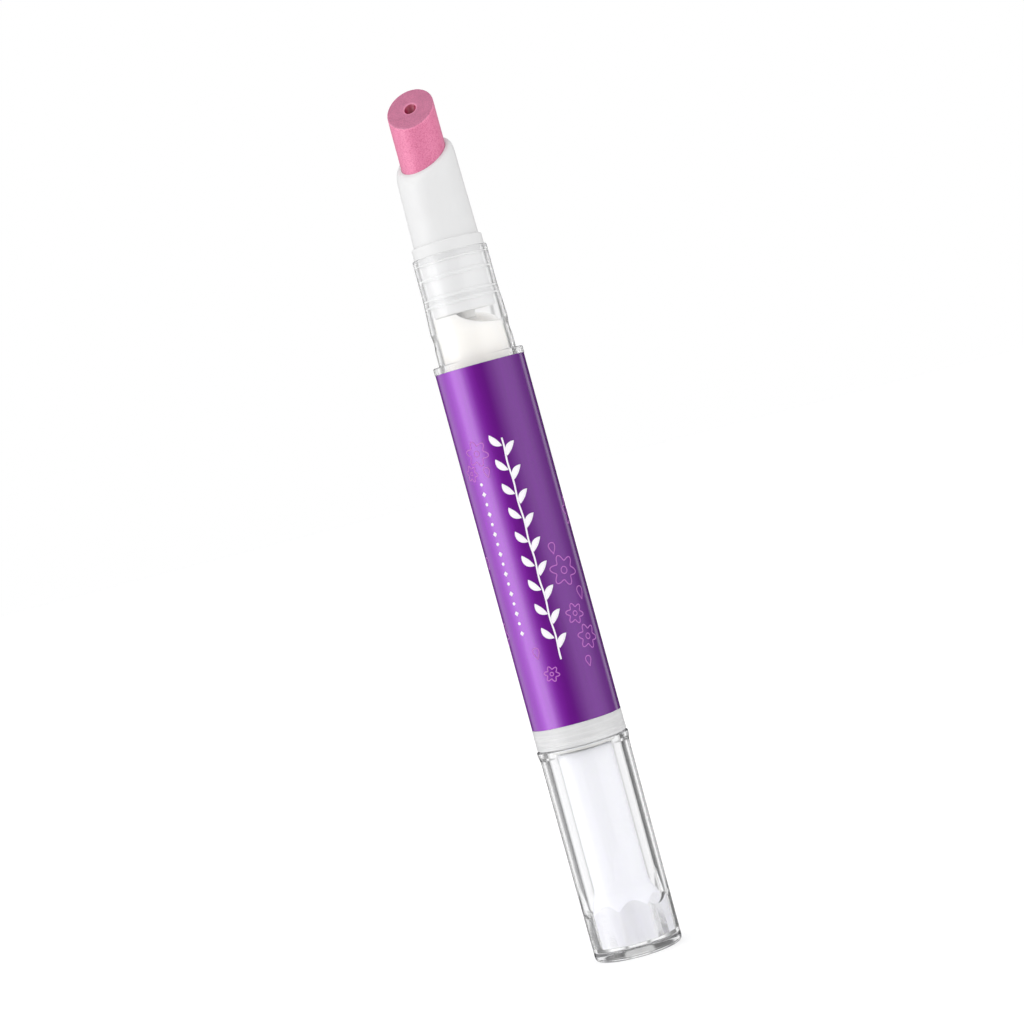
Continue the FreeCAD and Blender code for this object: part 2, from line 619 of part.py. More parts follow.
def lead_screw():
    """Left-hand screw with two flats; its headed tip spins in the piston's core."""
    # Whole turns below the nut's ridge, plus the half turn that puts it in the groove.
    turns_below = f"floor(({THREAD_FOOT} + size.nut_ridge_rise - {SCREW_TAIL}) / size.screw_lead)"
    ridge_foot = f"({THREAD_FOOT} + size.nut_ridge_rise - size.screw_lead * ({turns_below} + 0.5))"
    turns = f"ceil(({PIN_FOOT} - {ridge_foot}) / size.screw_lead)"
    ridge = helical_ridge(
        "screw_ridge", ridge_foot, turns, PIN_NECK, SCREW_CREST,
        "size.ridge_foot_width", "size.ridge_crest_width",
    )
    rod = primitive(
        "Part::Cylinder", "screw_rod", f"{ridge_foot} - size.cut_overrun",
        Radius=SCREW_ROOT,
        Height=f"size.screw_lead * ({turns}) + size.cut_overrun * 2",
    )
    threaded = join("screw_threaded", [rod, ridge])
    blank = centred_box(
        "screw_blank", SCREW_TAIL, f"{SCREW_CREST} * 4", f"{SCREW_FLAT} * 2",
        f"{PIN_FOOT} - {SCREW_TAIL}",
    )
    shaft = combine("Part::Common", "screw_shaft", threaded, blank)
    neck = primitive(
        "Part::Cylinder", "screw_neck", f"{PIN_FOOT} - size.pin_neck_length",
        Radius=PIN_NECK, Height="size.pin_neck_length * 2",
    )
    head = primitive(
        "Part::Cylinder", "screw_head", PIN_HEAD_FOOT,
        Radius=PIN_HEAD, Height="size.pin_head_length",
    )
    return join("lead_screw", [shaft, neck, head])


def piston_core():
    """Hard plug in the piston with an undercut socket for the screw's head."""
    socket_top = f"{PIN_TOP} + size.end_play"
    core_top = f"{PISTON_TOP} - size.piston_crown"
    lip_top = f"{PISTON_FOOT} + size.piston_core_lip"
    return turned_body("piston_core", [
        (f"{PIN_NECK} + size.running_clearance", PISTON_FOOT),
        (PISTON_CORE, PISTON_FOOT),
        (PISTON_CORE, core_top),
        ("0", core_top),
        ("0", socket_top),
        (f"{PIN_HEAD} + size.running_clearance", socket_top),
        (f"{PIN_HEAD} + size.running_clearance", lip_top),
        (f"{PIN_NECK} + size.running_clearance", lip_top),
    ])


def piston_cup():
    """Soft cup over the core, with a sealing lip at each end."""
    lip_radius = f"{BORE} - size.running_clearance"
    return turned_body("piston_cup", [
        (PISTON_CORE, PISTON_FOOT),
        (lip_radius, PISTON_FOOT),
        (lip_radius, f"{PISTON_FOOT} + size.piston_lip_height"),
        (PISTON_WAIST, f"{PISTON_FOOT} + size.piston_lip_height * 1.5"),
        (PISTON_WAIST, f"{PISTON_TOP} - size.piston_lip_height * 1.5"),
        (lip_radius, f"{PISTON_TOP} - size.piston_lip_height"),
        (lip_radius, PISTON_TOP),
        ("0", PISTON_TOP),
        ("0", f"{PISTON_TOP} - size.piston_crown"),
        (PISTON_CORE, f"{PISTON_TOP} - size.piston_crown"),
    ])


def oil_charge():
    """The oil above the piston, with a slanted surface under the air bubble at the plug."""
    top = f"({PLUG_FOOT} - size.oil_clearance)"
    foot = f"({PISTON_TOP} + size.oil_clearance)"
    outside = f"{BORE} - size.running_clearance"
    tube_radius = "size.tube_radius + size.oil_clearance"
    tube_foot = f"({PLUG_FOOT} - size.tube_dip - size.oil_clearance)"
    oil = turned_body("oil_charge", [
        ("0", foot),
        (outside, foot),
        (outside, top),
        (tube_radius, top),
        (tube_radius, tube_foot),
        ("0", tube_foot),
    ])
    side = BORE
    cut_through(oil, "XZ_Plane", [
        ("-size.air_start", top),
        (side, f"{top} - size.air_fall"),
        (side, f"{top} + size.cut_overrun"),
        ("-size.air_start", f"{top} + size.cut_overrun"),
    ])
    turn_about_z(oil, "size.air_turn_angle")
    return oil


def barrel():
    """Clear tube: body under the label, shoulder ring, and a neck with a snap groove for a cap."""
    groove_level = f"({SHOULDER_TOP} + size.snap_groove_rise)"
    groove_radius = f"{NECK_BAND} - size.snap_groove_depth"
    return turned_body("barrel", [
        (BORE, BARREL_FOOT),
        ("size.barrel_radius", BARREL_FOOT),
        ("size.barrel_radius", LABEL_TOP),
        (SHOULDER_RADIUS, LABEL_TOP),
        (SHOULDER_RADIUS, SHOULDER_TOP),
        (NECK_BAND, SHOULDER_TOP),
        (NECK_BAND, f"{groove_level} - size.snap_groove_width / 2"),
        (groove_radius, groove_level),
        (NECK_BAND, f"{groove_level} + size.snap_groove_width / 2"),
        (NECK_BAND, f"{SHOULDER_TOP} + size.neck_band_length"),
        (NECK_RADIUS, f"{NECK_TOP} - size.neck_seat_length"),
        (NECK_RADIUS, NECK_TOP),
        (BORE, NECK_TOP),
    ])


def label_sleeve():
    """Printed film round the barrel between the collar and the shoulder ring."""
    outside = "size.barrel_radius + size.label_thickness"
    return turned_body("label_sleeve", [
        ("size.barrel_radius", BARREL_FOOT),
        (outside, BARREL_FOOT),
        (outside, LABEL_TOP),
        ("size.barrel_radius", LABEL_TOP),
    ])


def slant_outline(level, reach, slant):
    """Everything above a line through the axis at a level, rising towards +Y."""
    return [
        (f"-({reach})", f"{level} - ({reach}) * tan({slant} * 1 deg)"),
        (reach, f"{level} + ({reach}) * tan({slant} * 1 deg)"),
        (reach, f"{level} + ({reach}) * tan({slant} * 1 deg) + ({reach}) * 2"),
        (f"-({reach})", f"{level} + ({reach}) * tan({slant} * 1 deg) + ({reach}) * 2"),
    ]


def nib_holder():
    """White holder: ribbed plug in the neck, flange, and a slightly tapered cone with a slanted mouth."""
    bore = "size.tube_radius"
    rib = BORE
    profile = [(bore, PLUG_FOOT), (PLUG_RADIUS, PLUG_FOOT)]
    for rise in ("size.plug_rib_low", "size.plug_rib_mid", "size.plug_rib_high"):
        level = f"({PLUG_FOOT} + {rise})"
        profile += [
            (PLUG_RADIUS, f"{level} - size.plug_rib_height / 2"),
            (rib, f"{level} - size.plug_rib_height / 4"),
            (rib, f"{level} + size.plug_rib_height / 4"),
            (PLUG_RADIUS, f"{level} + size.plug_rib_height / 2"),
        ]
    blank_top = f"({MOUTH} + {HOLDER_FOOT} * 2)"
    profile += [
        (PLUG_RADIUS, NECK_TOP),
        (FLANGE_RADIUS, NECK_TOP),
        (FLANGE_RADIUS, FLANGE_TOP),
        (HOLDER_FOOT, FLANGE_TOP),
        (HOLDER_TOP, MOUTH),
        (HOLDER_TOP, blank_top),
        (NIB_SEAT_RADIUS, blank_top),
        (NIB_SEAT_RADIUS, NIB_SEAT),
        (bore, NIB_SEAT),
    ]
    holder = turned_body("nib_holder", profile)
    reach = f"({HOLDER_FOOT} + size.cut_overrun)"
    cut_through(holder, "YZ_Plane", slant_outline(MOUTH, reach, "size.mouth_angle"))
    round_edges(holder, slanted_edges(holder.Shape, number(NIB_RADIUS)), "size.mouth_round")
    round_edges(holder, circles_at(holder.Shape, FLANGE_RADIUS, FLANGE_TOP), "size.flange_round")
    return holder


def feed_tube():
    """Fine tube from the oil, through the plug, into the nib."""
    foot = f"({PLUG_FOOT} - size.tube_dip)"
    top = f"({NIB_SEAT} + size.tube_rise)"
    return turned_body("feed_tube", [
        ("size.tube_bore_radius", foot),
        ("size.tube_radius", foot),
        ("size.tube_radius", top),
        ("size.tube_bore_radius", top),
    ])


def porous_nib():
    """Sintered nib with a slanted face, an outlet on its axis and a seat for the feed tube."""
    tube_top = f"({NIB_SEAT} + size.tube_rise)"
    blank_top = f"({NIB_FACE} + {NIB_RADIUS} * 2)"
    nib = turned_body("porous_nib", [
        ("size.tube_radius", NIB_SEAT),
        (NIB_RADIUS, NIB_SEAT),
        (NIB_RADIUS, blank_top),
        ("size.nib_hole_radius", blank_top),
        ("size.nib_hole_radius", tube_top),
        ("size.tube_radius", tube_top),
    ])
    reach = f"({NIB_RADIUS} + size.cut_overrun)"
    cut_through(nib, "YZ_Plane", slant_outline(NIB_FACE, reach, "size.nib_angle"))
    round_edges(nib, slanted_edges(nib.Shape, number("size.nib_hole_radius") * 2), "size.nib_edge_round")
    turn_about_z(nib, "size.nib_turn_angle")
    return nib


def write_parts(pieces):
    """Checks every object and shape, then writes one file for each piece."""
    document.recompute()
    for item in document.Objects:
        if "Invalid" in item.State or "Error" in item.State:
            raise RuntimeError(f"{item.Name} failed: {item.State}")
    for piece in pieces:
        shape = piece.Shape
        if shape.isNull() or not shape.isValid() or len(shape.Solids) != 1:
            raise RuntimeError(f"{piece.Label} is not one valid solid")
    os.makedirs("parts", exist_ok=True)
    for piece in pieces:
        piece.Shape.exportStep(f"parts/{piece.Label}.step")
        box = piece.Shape.BoundBox
        print(f"{piece.Label:16s} {piece.Shape.Volume:9.2f} mm3, z {box.ZMin:.3f} to {box.ZMax:.3f}")


PIECES = [
    twist_knob(),
    drive_core(),
    pawl_ring(),
    retaining_clip(),
    drag_ring(),
    end_collar(),
    ratchet_ring(),
    guide_nut(),
    lead_screw(),
    piston_core(),
    piston_cup(),
    oil_charge(),
    barrel(),
    label_sleeve(),
    nib_holder(),
    feed_tube(),
    porous_nib(),
]
write_parts(PIECES)
full_turn = 2 * math.pi
print(f"travel {number(TRAVEL):.3f} mm, {number('size.screw_lead') / full_turn:.5f} mm per radian")
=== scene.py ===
import math

import bmesh
import bpy
import numpy as np
from mathutils import Matrix, Vector


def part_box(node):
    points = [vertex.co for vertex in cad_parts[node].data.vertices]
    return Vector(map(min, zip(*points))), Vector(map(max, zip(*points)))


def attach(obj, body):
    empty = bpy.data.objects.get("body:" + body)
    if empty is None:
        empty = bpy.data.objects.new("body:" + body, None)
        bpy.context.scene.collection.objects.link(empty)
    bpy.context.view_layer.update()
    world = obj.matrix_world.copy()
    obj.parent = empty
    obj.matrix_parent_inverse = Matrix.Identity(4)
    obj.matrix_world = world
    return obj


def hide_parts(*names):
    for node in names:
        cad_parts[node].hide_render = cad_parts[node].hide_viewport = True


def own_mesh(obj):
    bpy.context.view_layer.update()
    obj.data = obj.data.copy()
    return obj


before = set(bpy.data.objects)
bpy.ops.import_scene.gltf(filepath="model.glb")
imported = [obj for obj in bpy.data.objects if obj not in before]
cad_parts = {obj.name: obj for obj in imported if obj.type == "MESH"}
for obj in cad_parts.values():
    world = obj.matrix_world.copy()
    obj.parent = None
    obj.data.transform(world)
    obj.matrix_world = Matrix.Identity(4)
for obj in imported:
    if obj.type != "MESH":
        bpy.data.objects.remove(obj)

bl_info = {
    "name": "Nail oil pen",
    "version": (1, 0, 0),
    "blender": (4, 5, 0),
    "location": "3D View > Sidebar > Nail pen",
    "description": "Builds a twist pen for nail oil over its packed frame, piece by piece",
    "category": "Add Mesh",
}

MM = 0.001
TINY = 1e-12
WELD_DISTANCE = 0.0005 * MM
SIDES = 8
COLUMNS_PER_SIDE = 24
COLUMNS = SIDES * COLUMNS_PER_SIDE
ROUND_STEPS = 6
FULL_TURN = 2 * math.pi
QUARTER_TURN = math.pi / 2
UP = Vector((0, 0, 1))
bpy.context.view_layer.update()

# The collar's fine lines: their feet above the band's foot, in line heights.
LINE_RISES = (1.0, 2.6, 6.2)
# The plug's ribs: middle above the plug's foot in millimetres, and share of a full rib's height.
PLUG_RIBS = ((1.45, 1.0), (2.3, 1.0), (4.7, 1.0), (6.5, 0.6))
# The rounding of the holder's mouth, from outside to inside: shares of its width and its drop.
MOUTH_LIP = ((0.0, 1.0), (0.12, 0.4), (0.5, 0.07), (1.0, 0.0))
# The nib's rows: their distance where the grain shows, and how far below the mouth it starts.
GRAIN_STEP = 0.16 * MM
GRAIN_START = 3 * MM
# Rows of the oil's surface, from the wall to the feed tube.
OIL_ROWS = 40

# The print on the unrolled film, in millimetres right of the front and above the film's foot.
LEAF_RISES = np.linspace(9.0, 32.2, 9)
LEAF_STEPS = 13
STEM_RISES = np.linspace(7.7, 34.4, 60)
DOT_COUNT = 16
DOT_STEPS = 15
# Florets: place right, place up, and radius.
FLORETS = np.array([
    (-3.3, 33.3, 1.25), (-4.9, 31.2, 0.8), (3.4, 17.6, 1.5), (3.3, 12.4, 1.0), (4.3, 9.4, 1.2),
    (-1.4, 6.3, 0.75), (7.9, 24.0, 1.5), (10.6, 13.5, 1.2), (13.2, 32.0, 1.4), (-8.2, 12.0, 1.3),
    (-9.8, 27.5, 1.5), (-13.0, 19.0, 1.1),
])
# Drops: place right, place up, and size.
DROPS = np.array([
    (-2.6, 30.9, 0.55), (5.0, 14.5, 0.7), (2.6, 20.4, 0.6), (3.4, 6.6, 0.55), (-2.6, 9.0, 0.6),
    (9.6, 19.2, 0.8), (11.6, 26.5, 0.7), (-11.0, 32.4, 0.75), (-7.0, 20.5, 0.65), (14.5, 8.0, 0.8),
])

# The frame's own inner pieces: finish, colour, roughness, grain height in millimetres, and nodes.
INNER_FINISHES = (
    ("natural_inner_plastic", (0.80, 0.80, 0.77), 0.42, 0.004,
     ("pawl_ring", "ratchet_ring", "guide_nut", "piston_core")),
    ("white_screw_plastic", (0.86, 0.86, 0.85), 0.3, 0.004, ("retaining_clip", "lead_screw")),
    ("soft_seal_polymer", (0.74, 0.75, 0.76), 0.5, 0.006, ("piston_cup",)),
    ("black_silicone", (0.035, 0.035, 0.038), 0.55, 0.008, ("drag_ring",)),
    ("feed_tube_plastic", (0.88, 0.88, 0.86), 0.25, 0.004, ("feed_tube",)),
)

# Light on matt pieces: its level, and how it changes towards the right and upwards.
EVEN_LEVEL = 1.25
EVEN_RIGHTWARD = -0.20
EVEN_UPWARD = -0.15
# Bands of the soft boxes and dark cards that shiny and clear pieces see, by the angle in degrees
# from the direction of the camera, right of it positive, each with its brightness.
SHINE_BANDS = (
    (-180, 0.03), (-150, 0.03), (-144, 0.6), (-132, 0.9), (-106, 1.0), (-90, 1.7), (-78, 3.1),
    (-58, 3.1), (-46, 1.35), (-34, 0.4), (-22, 0.14), (2, 0.1), (20, 0.5), (40, 1.03), (62, 1.08),
    (84, 0.88), (100, 0.43), (122, 0.1), (129, 1.0), (138, 1.0), (143, 0.03), (180, 0.03),
)
CLEAR_BANDS = (
    (-180, 1.0), (-173, 1.0), (-171, 0.25), (-170, 0.25), (-168.8, 0.6), (-167, 0.9), (-163, 1.0),
    (-155, 1.0), (-149, 0.5), (-140, 0.22), (-126, 0.1), (-122, 1.0), (-90, 1.0), (-84, 1.4),
    (-54, 1.4), (-48, 1.0), (-24, 1.0), (-18, 0.3), (18, 0.3), (24, 1.0), (122, 1.0), (126, 0.03),
    (140, 0.12), (149, 0.45), (155, 1.0), (163, 1.0), (167, 0.9), (168.8, 0.6), (170, 0.25),
    (171, 0.25), (173, 1.0), (180, 1.0),
)
# What clear pieces see upwards, which from the front is only by way of a flat underside, and the
# upward parts of a direction between which it takes over.
LIFTED_BANDS = (
    (-180, 0.55), (-168, 0.6), (-165, 0.04), (-142, 0.06), (-134, 0.8), (-122, 1.0), (122, 1.0),
    (134, 0.8), (142, 0.06), (165, 0.04), (168, 0.6), (180, 0.55),
)
LIFTED_RISE = (0.12, 0.16)
# What they see through the pen's foot, where the dark cards end, and the upward parts of a
# direction between which it comes and goes.
LOW_BANDS = ((-180, 0.2), (-170, 0.2), (-164, 1.0), (152, 1.0), (158, 0.2), (180, 0.2))
LOW_RISE, LOW_FALL = (-0.205, -0.195), (-0.1715, -0.1685)


def node_foot(node):
    """Height of a frame node's lowest point."""
    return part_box(node)[0][2]


def node_top(node):
    """Height of a frame node's highest point."""
    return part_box(node)[1][2]


# Settings that the sidebar shows


def length(name, description, millimetres):
    """A length setting, given in millimetres and kept in metres."""
    return bpy.props.FloatProperty(
        name=name, description=description, default=millimetres * MM, min=0.0, unit="LENGTH",
        precision=5,
    )


def angle(name, description, degrees):
    """An angle setting, given in degrees."""
    return bpy.props.FloatProperty(
        name=name, description=description, default=math.radians(degrees), subtype="ANGLE",
    )


def factor(name, description, value):
    """A setting between 0 and 1."""
    return bpy.props.FloatProperty(
        name=name, description=description, default=value, min=0.0, max=1.0, subtype="FACTOR",
    )


def colour(name, description, red, green, blue):
    """A colour setting in scene-linear red, green and blue."""
    return bpy.props.FloatVectorProperty(
        name=name, description=description, default=(red, green, blue), size=3, min=0.0, max=1.0,
        subtype="COLOR",
    )


def group(settings, name, description):
    """A group of settings."""
    return bpy.props.PointerProperty(type=settings, name=name, description=description)


class KnobSettings(bpy.types.PropertyGroup):
    """Clear twist knob."""
    outside: length("Outside radius", "Wall outside, just below the lip", 5.4)
    draft: length("Draft", "How much smaller the radius is at the base", 0.1)
    base_round: length("Base round", "Rounding of the bottom edge", 0.5)
    floor: length("Floor", "Thickness of the closed end", 1.5)
    bore: length("Bore radius", "Bore around the drive core", 4.4)
    bore_round: length("Bore round", "Rounding of the bore's top edge", 0.08)
    socket_depth: length("Socket depth", "Octagonal socket above the floor", 3.7)
    socket_gap: length("Socket gap", "Gap between the socket and the core's foot", 0.05)
    socket_round: length("Socket round", "Softening of the socket's edges", 0.04)
    lead_in: length("Lead-in", "Height of the cone from the bore down to the socket", 1.1)
    lip_height: length("Lip height", "Raised lip at the rim", 0.42)
    lip_flare: length("Lip flare", "Height of the flare under the lip", 0.75)
    lip_stand: length("Lip stand", "How far the lip stands out", 0.16)
    flare_round: length("Flare round", "Rounding where the flare leaves the wall", 0.35)
    lip_round: length("Lip round", "Rounding of the lip's lower edge", 0.2)
    rim_round: length("Rim round", "Rounding of the rim's outer edge", 0.12)
    tint: colour("Tint", "Colour of the clear plastic", 0.995, 0.995, 1.0)
    haze: factor("Haze", "Share of light that the clear plastic scatters", 0.04)
    socket_frost: factor("Socket frost", "Roughness of the socket's wall", 0.22)


class CoreSettings(bpy.types.PropertyGroup):
    """Pearl drive core."""
    flat_radius: length("Flat radius", "Axis to a flat of the octagonal foot", 4.0)
    corner_radius: length("Corner radius", "Axis to a corner of the foot", 4.33)
    foot_height: length("Foot height", "Octagonal foot", 5.1)
    foot_round: length("Foot round", "Softening of the foot's edges", 0.05)
    chamfer_height: length("Chamfer height", "Conical chamfer on the foot's corners", 1.2)
    cone_height: length("Cone height", "Cone from the foot's chamfer in to the tube", 1.3)
    cone_round: length("Cone round", "Rounding from the cone into the tube", 0.5)
    turn: angle("Turn", "Direction of one corner from +X", 14.5)
    tube_radius: length("Tube radius", "Lower tube", 3.3)
    neck_radius: length("Neck radius", "Upper tube", 2.6)
    clip_seat: length("Clip seat", "Depth of the clip's groove", 0.25)
    ring_seat: length("Ring seat", "Depth of the drag ring's groove", 0.4)
    ring_room: length("Ring room", "Room above and below the drag ring", 0.1)
    edge_round: length("Edge round", "Rounding of the tubes' edges", 0.06)
    bore_radius: length("Bore radius", "Round bore around the screw", 2.05)
    guide_length: length("Guide length", "Guide at the top, with two flats", 6.3)
    guide_radius: length("Guide radius", "Round sides of the guide", 1.92)
    guide_flat: length("Guide flat", "Axis to a flat of the guide", 1.37)
    tint: colour("Tint", "Colour of the pearl plastic", 0.885, 0.885, 0.99)
    # The foot tint, greyer and darker than the tube's, is painted shade on the foot's flats.
    foot_shade_tint: colour("Foot tint", "Colour of the foot's polished flats", 0.74, 0.74, 0.77)


class CollarSettings(bpy.types.PropertyGroup):
    """Frosted collar between knob and barrel."""
    height: length("Band height", "Visible band", 2.55)
    outside: length("Outside radius", "Outside of the band", 5.42)
    spigot_height: length("Spigot height", "How far the spigot reaches into the knob", 0.4)
    spigot_gap: length("Spigot gap", "Gap between the spigot and the knob's bore", 0.05)
    line_height: length("Line height", "Height of a fine raised line", 0.22)
    line_stand: length("Line stand", "How far a line stands out", 0.04)
    line_round: length("Line round", "Rounding of a line's edges", 0.04)
    ratchet_seat: length("Ratchet seat", "Radius of the seat around the ratchet ring", 3.9)
    nut_seat: length("Nut seat", "Radius of the seat around the nut's tail", 3.65)
    hole_radius: length("Hole radius", "Hole around the core's upper tube", 2.65)
    rim_round: length("Rim round", "Rounding of the lower outside edges", 0.12)
    top_round: length("Top round", "Rounding of the upper outside edge", 0.06)
    edge_round: length("Edge round", "Rounding of the other edges", 0.05)
    tint: colour("Tint", "Colour of the frosted plastic", 0.77, 0.77, 0.775)


class BarrelSettings(bpy.types.PropertyGroup):
    """Clear barrel with its shoulder ring and neck."""
    outside: length("Outside radius", "Barrel under the film", 5.34)
    bore: length("Bore radius", "Inside of the barrel", 4.0)
    shoulder_radius: length("Shoulder radius", "Ring above the film", 5.45)
    shoulder_height: length("Shoulder height", "Height of that ring", 0.85)
    shoulder_round: length("Shoulder round", "Rounding of the ring's upper edge", 0.16)
    film_stop_round: length("Film stop round", "Rounding of the ring's lower edge", 0.04)
    film_end_round: length("Film end round", "Rounding where the film's wall meets the ring", 0.02)
    band_radius: length("Band radius", "Lower band of the neck", 4.68)
    band_length: length("Band length", "Lower band, shoulder to taper", 4.35)
    taper_foot_round: length("Taper foot round", "Rounding from the band into the taper", 0.4)
    taper_top_round: length("Taper top round", "Rounding from the taper into the neck", 0.3)
    neck_radius: length("Neck radius", "Straight upper neck", 4.5)
    seat_length: length("Seat length", "Length of the straight upper neck", 4.9)
    rim_round: length("Rim round", "Rounding of the neck's outer rim", 0.18)
    groove_rise: length("Groove rise", "Middle of the snap groove above the shoulder", 2.75)
    groove_width: length("Groove width", "Width of the snap groove", 2.2)
    groove_depth: length("Groove depth", "Depth of the snap groove", 0.14)
    groove_round: length("Groove round", "Rounding of the groove's edges and floor", 0.5)
    edge_round: length("Edge round", "Rounding of the other edges", 0.1)
    haze: factor("Haze", "Share of light that the barrel's plastic scatters", 0.12)


class FilmSettings(bpy.types.PropertyGroup):
    """Metallic film."""
    thickness: length("Thickness", "Film thickness", 0.06)
    glue: length("Glue", "Gap between the barrel and the film", 0.005)
    edge_round: length("Edge round", "Rounding of the film's cut edges", 0.015)
    lap_width: length("Lap width", "Overlap of the film's ends, at the back", 1.2)
    lap_step: length("Lap step", "How far the overlap stands out", 0.02)
    lap_ramp: length("Lap ramp", "Length over which the overlap rises", 0.1)
    metal: colour("Film", "Metallic purple of the film", 0.243, 0.006, 0.405)


class PrintSettings(bpy.types.PropertyGroup):
    """Print on the film."""
    ink_height: length("Ink height", "How far the print stands on the film", 0.012)
    ink_foot: length("Ink foot", "How far the print reaches into the film", 0.01)
    leaf_length: length("Leaf length", "Length of a leaf", 1.95)
    leaf_width: length("Leaf width", "Widest part of a leaf", 0.78)
    leaf_turn: angle("Leaf turn", "Turn of a leaf from upright", 38.0)
    stem_width: length("Stem width", "Width of the stem", 0.2)
    lozenge: length("Lozenge", "Height of a lozenge in the column of dots", 0.62)
    dot: length("Dot", "Height of a dot in that column", 0.4)
    petal_line: length("Petal line", "Line width of the florets", 0.13)
    fine_line: length("Fine line", "Line width of the rings and drops", 0.12)
    white_ink: colour("White ink", "Leaf and dot print", 0.93, 0.90, 0.95)
    violet_ink: colour("Violet ink", "Fine line print", 0.48, 0.13, 0.53)


class OilSettings(bpy.types.PropertyGroup):
    """Oil in the barrel."""
    wall_gap: length("Wall gap", "Gap between the oil and the barrel", 0.03)
    tube_gap: length("Tube gap", "Gap between the oil and the feed tube", 0.05)
    foot_cut: length("Foot cut", "Cut of the oil's bottom edge", 0.1)
    air_turn: angle("Air turn", "Direction of the air bubble from +X", 29.0)
    air_start: length("Air start", "Start of the bubble, short of the axis", 1.1)
    air_slope: factor("Air slope", "Fall of the surface under the bubble", 0.24)
    air_drop: length("Air drop", "Further fall where the bubble starts", 1.25)
    drop_reach: length("Drop reach", "Distance in which most of that fall is made", 0.9)
    climb: length("Climb", "Height to which the oil wets the wall", 0.22)
    climb_reach: length("Climb reach", "Distance from the wall in which it climbs", 0.25)
    kept_share: factor("Kept share", "Share of the height left when the pen is empty", 0.028)
    tint: colour("Tint", "Colour of the oil", 0.91, 0.88, 0.83)


class HolderSettings(bpy.types.PropertyGroup):
    """White nib holder."""
    plug_radius: length("Plug radius", "Plug between its ribs", 3.7)
    plug_round: length("Plug round", "Rounding of the plug's lower edge", 0.25)
    rib_height: length("Rib height", "Height of a sealing rib", 0.55)
    rib_press: length("Rib press", "How far the ribs press into the barrel's bore", 0.01)
    rib_round: length("Rib round", "Rounding of a rib's edges", 0.1)
    rib_foot_round: length("Rib foot round", "Rounding where a rib leaves the plug", 0.08)
    flange_radius: length("Flange radius", "Outside of the flange", 4.25)
    flange_height: length("Flange height", "Height of the flange", 1.36)
    flange_round: length("Flange round", "Rounding of the flange's top edge", 0.2)
    flange_foot_round: length("Flange foot round", "Rounding of its lower edge", 0.08)
    foot_radius: length("Foot radius", "Outside just above the flange", 3.93)
    foot_round: length("Foot round", "Rounding from the flange into the cone", 0.12)
    top_radius: length("Top radius", "Outside at the mouth", 3.78)
    mouth_height: length("Mouth height", "Mouth on the axis, above the flange", 10.34)
    mouth_slant: angle("Mouth slant", "Slant of the mouth from level", 32.8)
    mouth_drop: length("Mouth drop", "How far down the lip's outer rounding reaches", 1.4)
    mouth_width: length("Mouth width", "How far in the lip's outer rounding reaches", 0.8)
    mouth_round: length("Mouth round", "Softening between the lip's slopes", 0.5)
    edge_round: length("Edge round", "Rounding of the other edges", 0.05)
    tint: colour("Tint", "Colour of the white plastic", 0.72, 0.72, 0.722)


class NibSettings(bpy.types.PropertyGroup):
    """Porous nib."""
    radius: length("Radius", "Nib radius", 2.9)
    projection: length("Projection", "Face on the axis, above the mouth", 5.83)
    slant: angle("Slant", "Slant of the face from level", 40.5)
    turn: angle("Turn", "Turn of the face from the mouth", 17.0)
    edge_round: length("Edge round", "Rounding of the face's edge", 0.2)
    hole_radius: length("Outlet radius", "Outlet in the face", 0.7)
    hole_round: length("Outlet round", "Rounding of the outlet's edge", 0.12)
    grain: length("Grain", "Height of the surface grain", 0.012)
    seat_radius: length("Seat radius", "Bore of the holder around the nib", 2.92)
    seat_round: length("Seat round", "Rounding of the edges in the holder", 0.05)
    tube_radius: length("Tube radius", "Feed tube in the nib", 1.1)
    tint: colour("Side tint", "Colour of the moulded side", 0.69, 0.172, 0.33)
    pore_tint: colour("Pore tint", "Colour of the pores in the side", 0.5865, 0.1032, 0.231)
    # The face tint is darker than the side's: painted shade, for the face looks up, where the light
    # is dimmer.
    face_shade_tint: colour("Face tint", "Colour of the cut face, with open pores", 0.49, 0.128, 0.245)
    # The outlet tint is dark: painted shade of the deep outlet.
    outlet_shade_tint: colour("Outlet tint", "Colour inside the wet outlet", 0.34, 0.01, 0.06)


class StageSettings(bpy.types.PropertyGroup):
    """Camera, light and floor."""
    camera_azimuth: angle("Camera azimuth", "Camera's turn round the pen, -Y towards +X", 29.0)
    camera_distance: length("Camera distance", "Camera to the point it looks at", 354.0)
    camera_rise: length("Camera rise", "Camera above the point it looks at", 9.2)
    target_height: length("Target height", "Height of the point the camera looks at", 54.0)
    target_left: length("Target left", "How far left of the axis that point is", 0.9)
    camera_roll: angle("Camera roll", "Roll that leans the pen to the left", 15.25)
    lens: bpy.props.FloatProperty(
        name="Lens", description="Focal length of the camera", default=105.5, min=1.0,
        unit="CAMERA",
    )
    floor_size: length("Floor size", "Side of the floor", 6000.0)
    floor_gap: length("Floor gap", "Gap between the floor and the pen's base", 0.02)
    floor_tint: colour("Floor", "Colour of the pale floor", 0.95, 0.95, 0.95)


class PenSettings(bpy.types.PropertyGroup):
    """All settings of the pen."""
    knob: group(KnobSettings, "Knob", "Clear twist knob")
    core: group(CoreSettings, "Core", "Pearl drive core")
    collar: group(CollarSettings, "Collar", "Frosted collar")
    barrel: group(BarrelSettings, "Barrel", "Clear barrel")
    film: group(FilmSettings, "Film", "Metallic film")
    ink: group(PrintSettings, "Print", "Print on the film")
    oil: group(OilSettings, "Oil", "Oil in the barrel")
    holder: group(HolderSettings, "Holder", "Nib holder")
    nib: group(NibSettings, "Nib", "Porous nib")
    stage: group(StageSettings, "Stage", "Camera and light")


# Surfaces


def column_angles(turn=0.0):
    """Angles of the columns round the axis, first and last alike, with one column at the turn."""
    return turn + np.linspace(0.0, FULL_TURN, COLUMNS + 1)


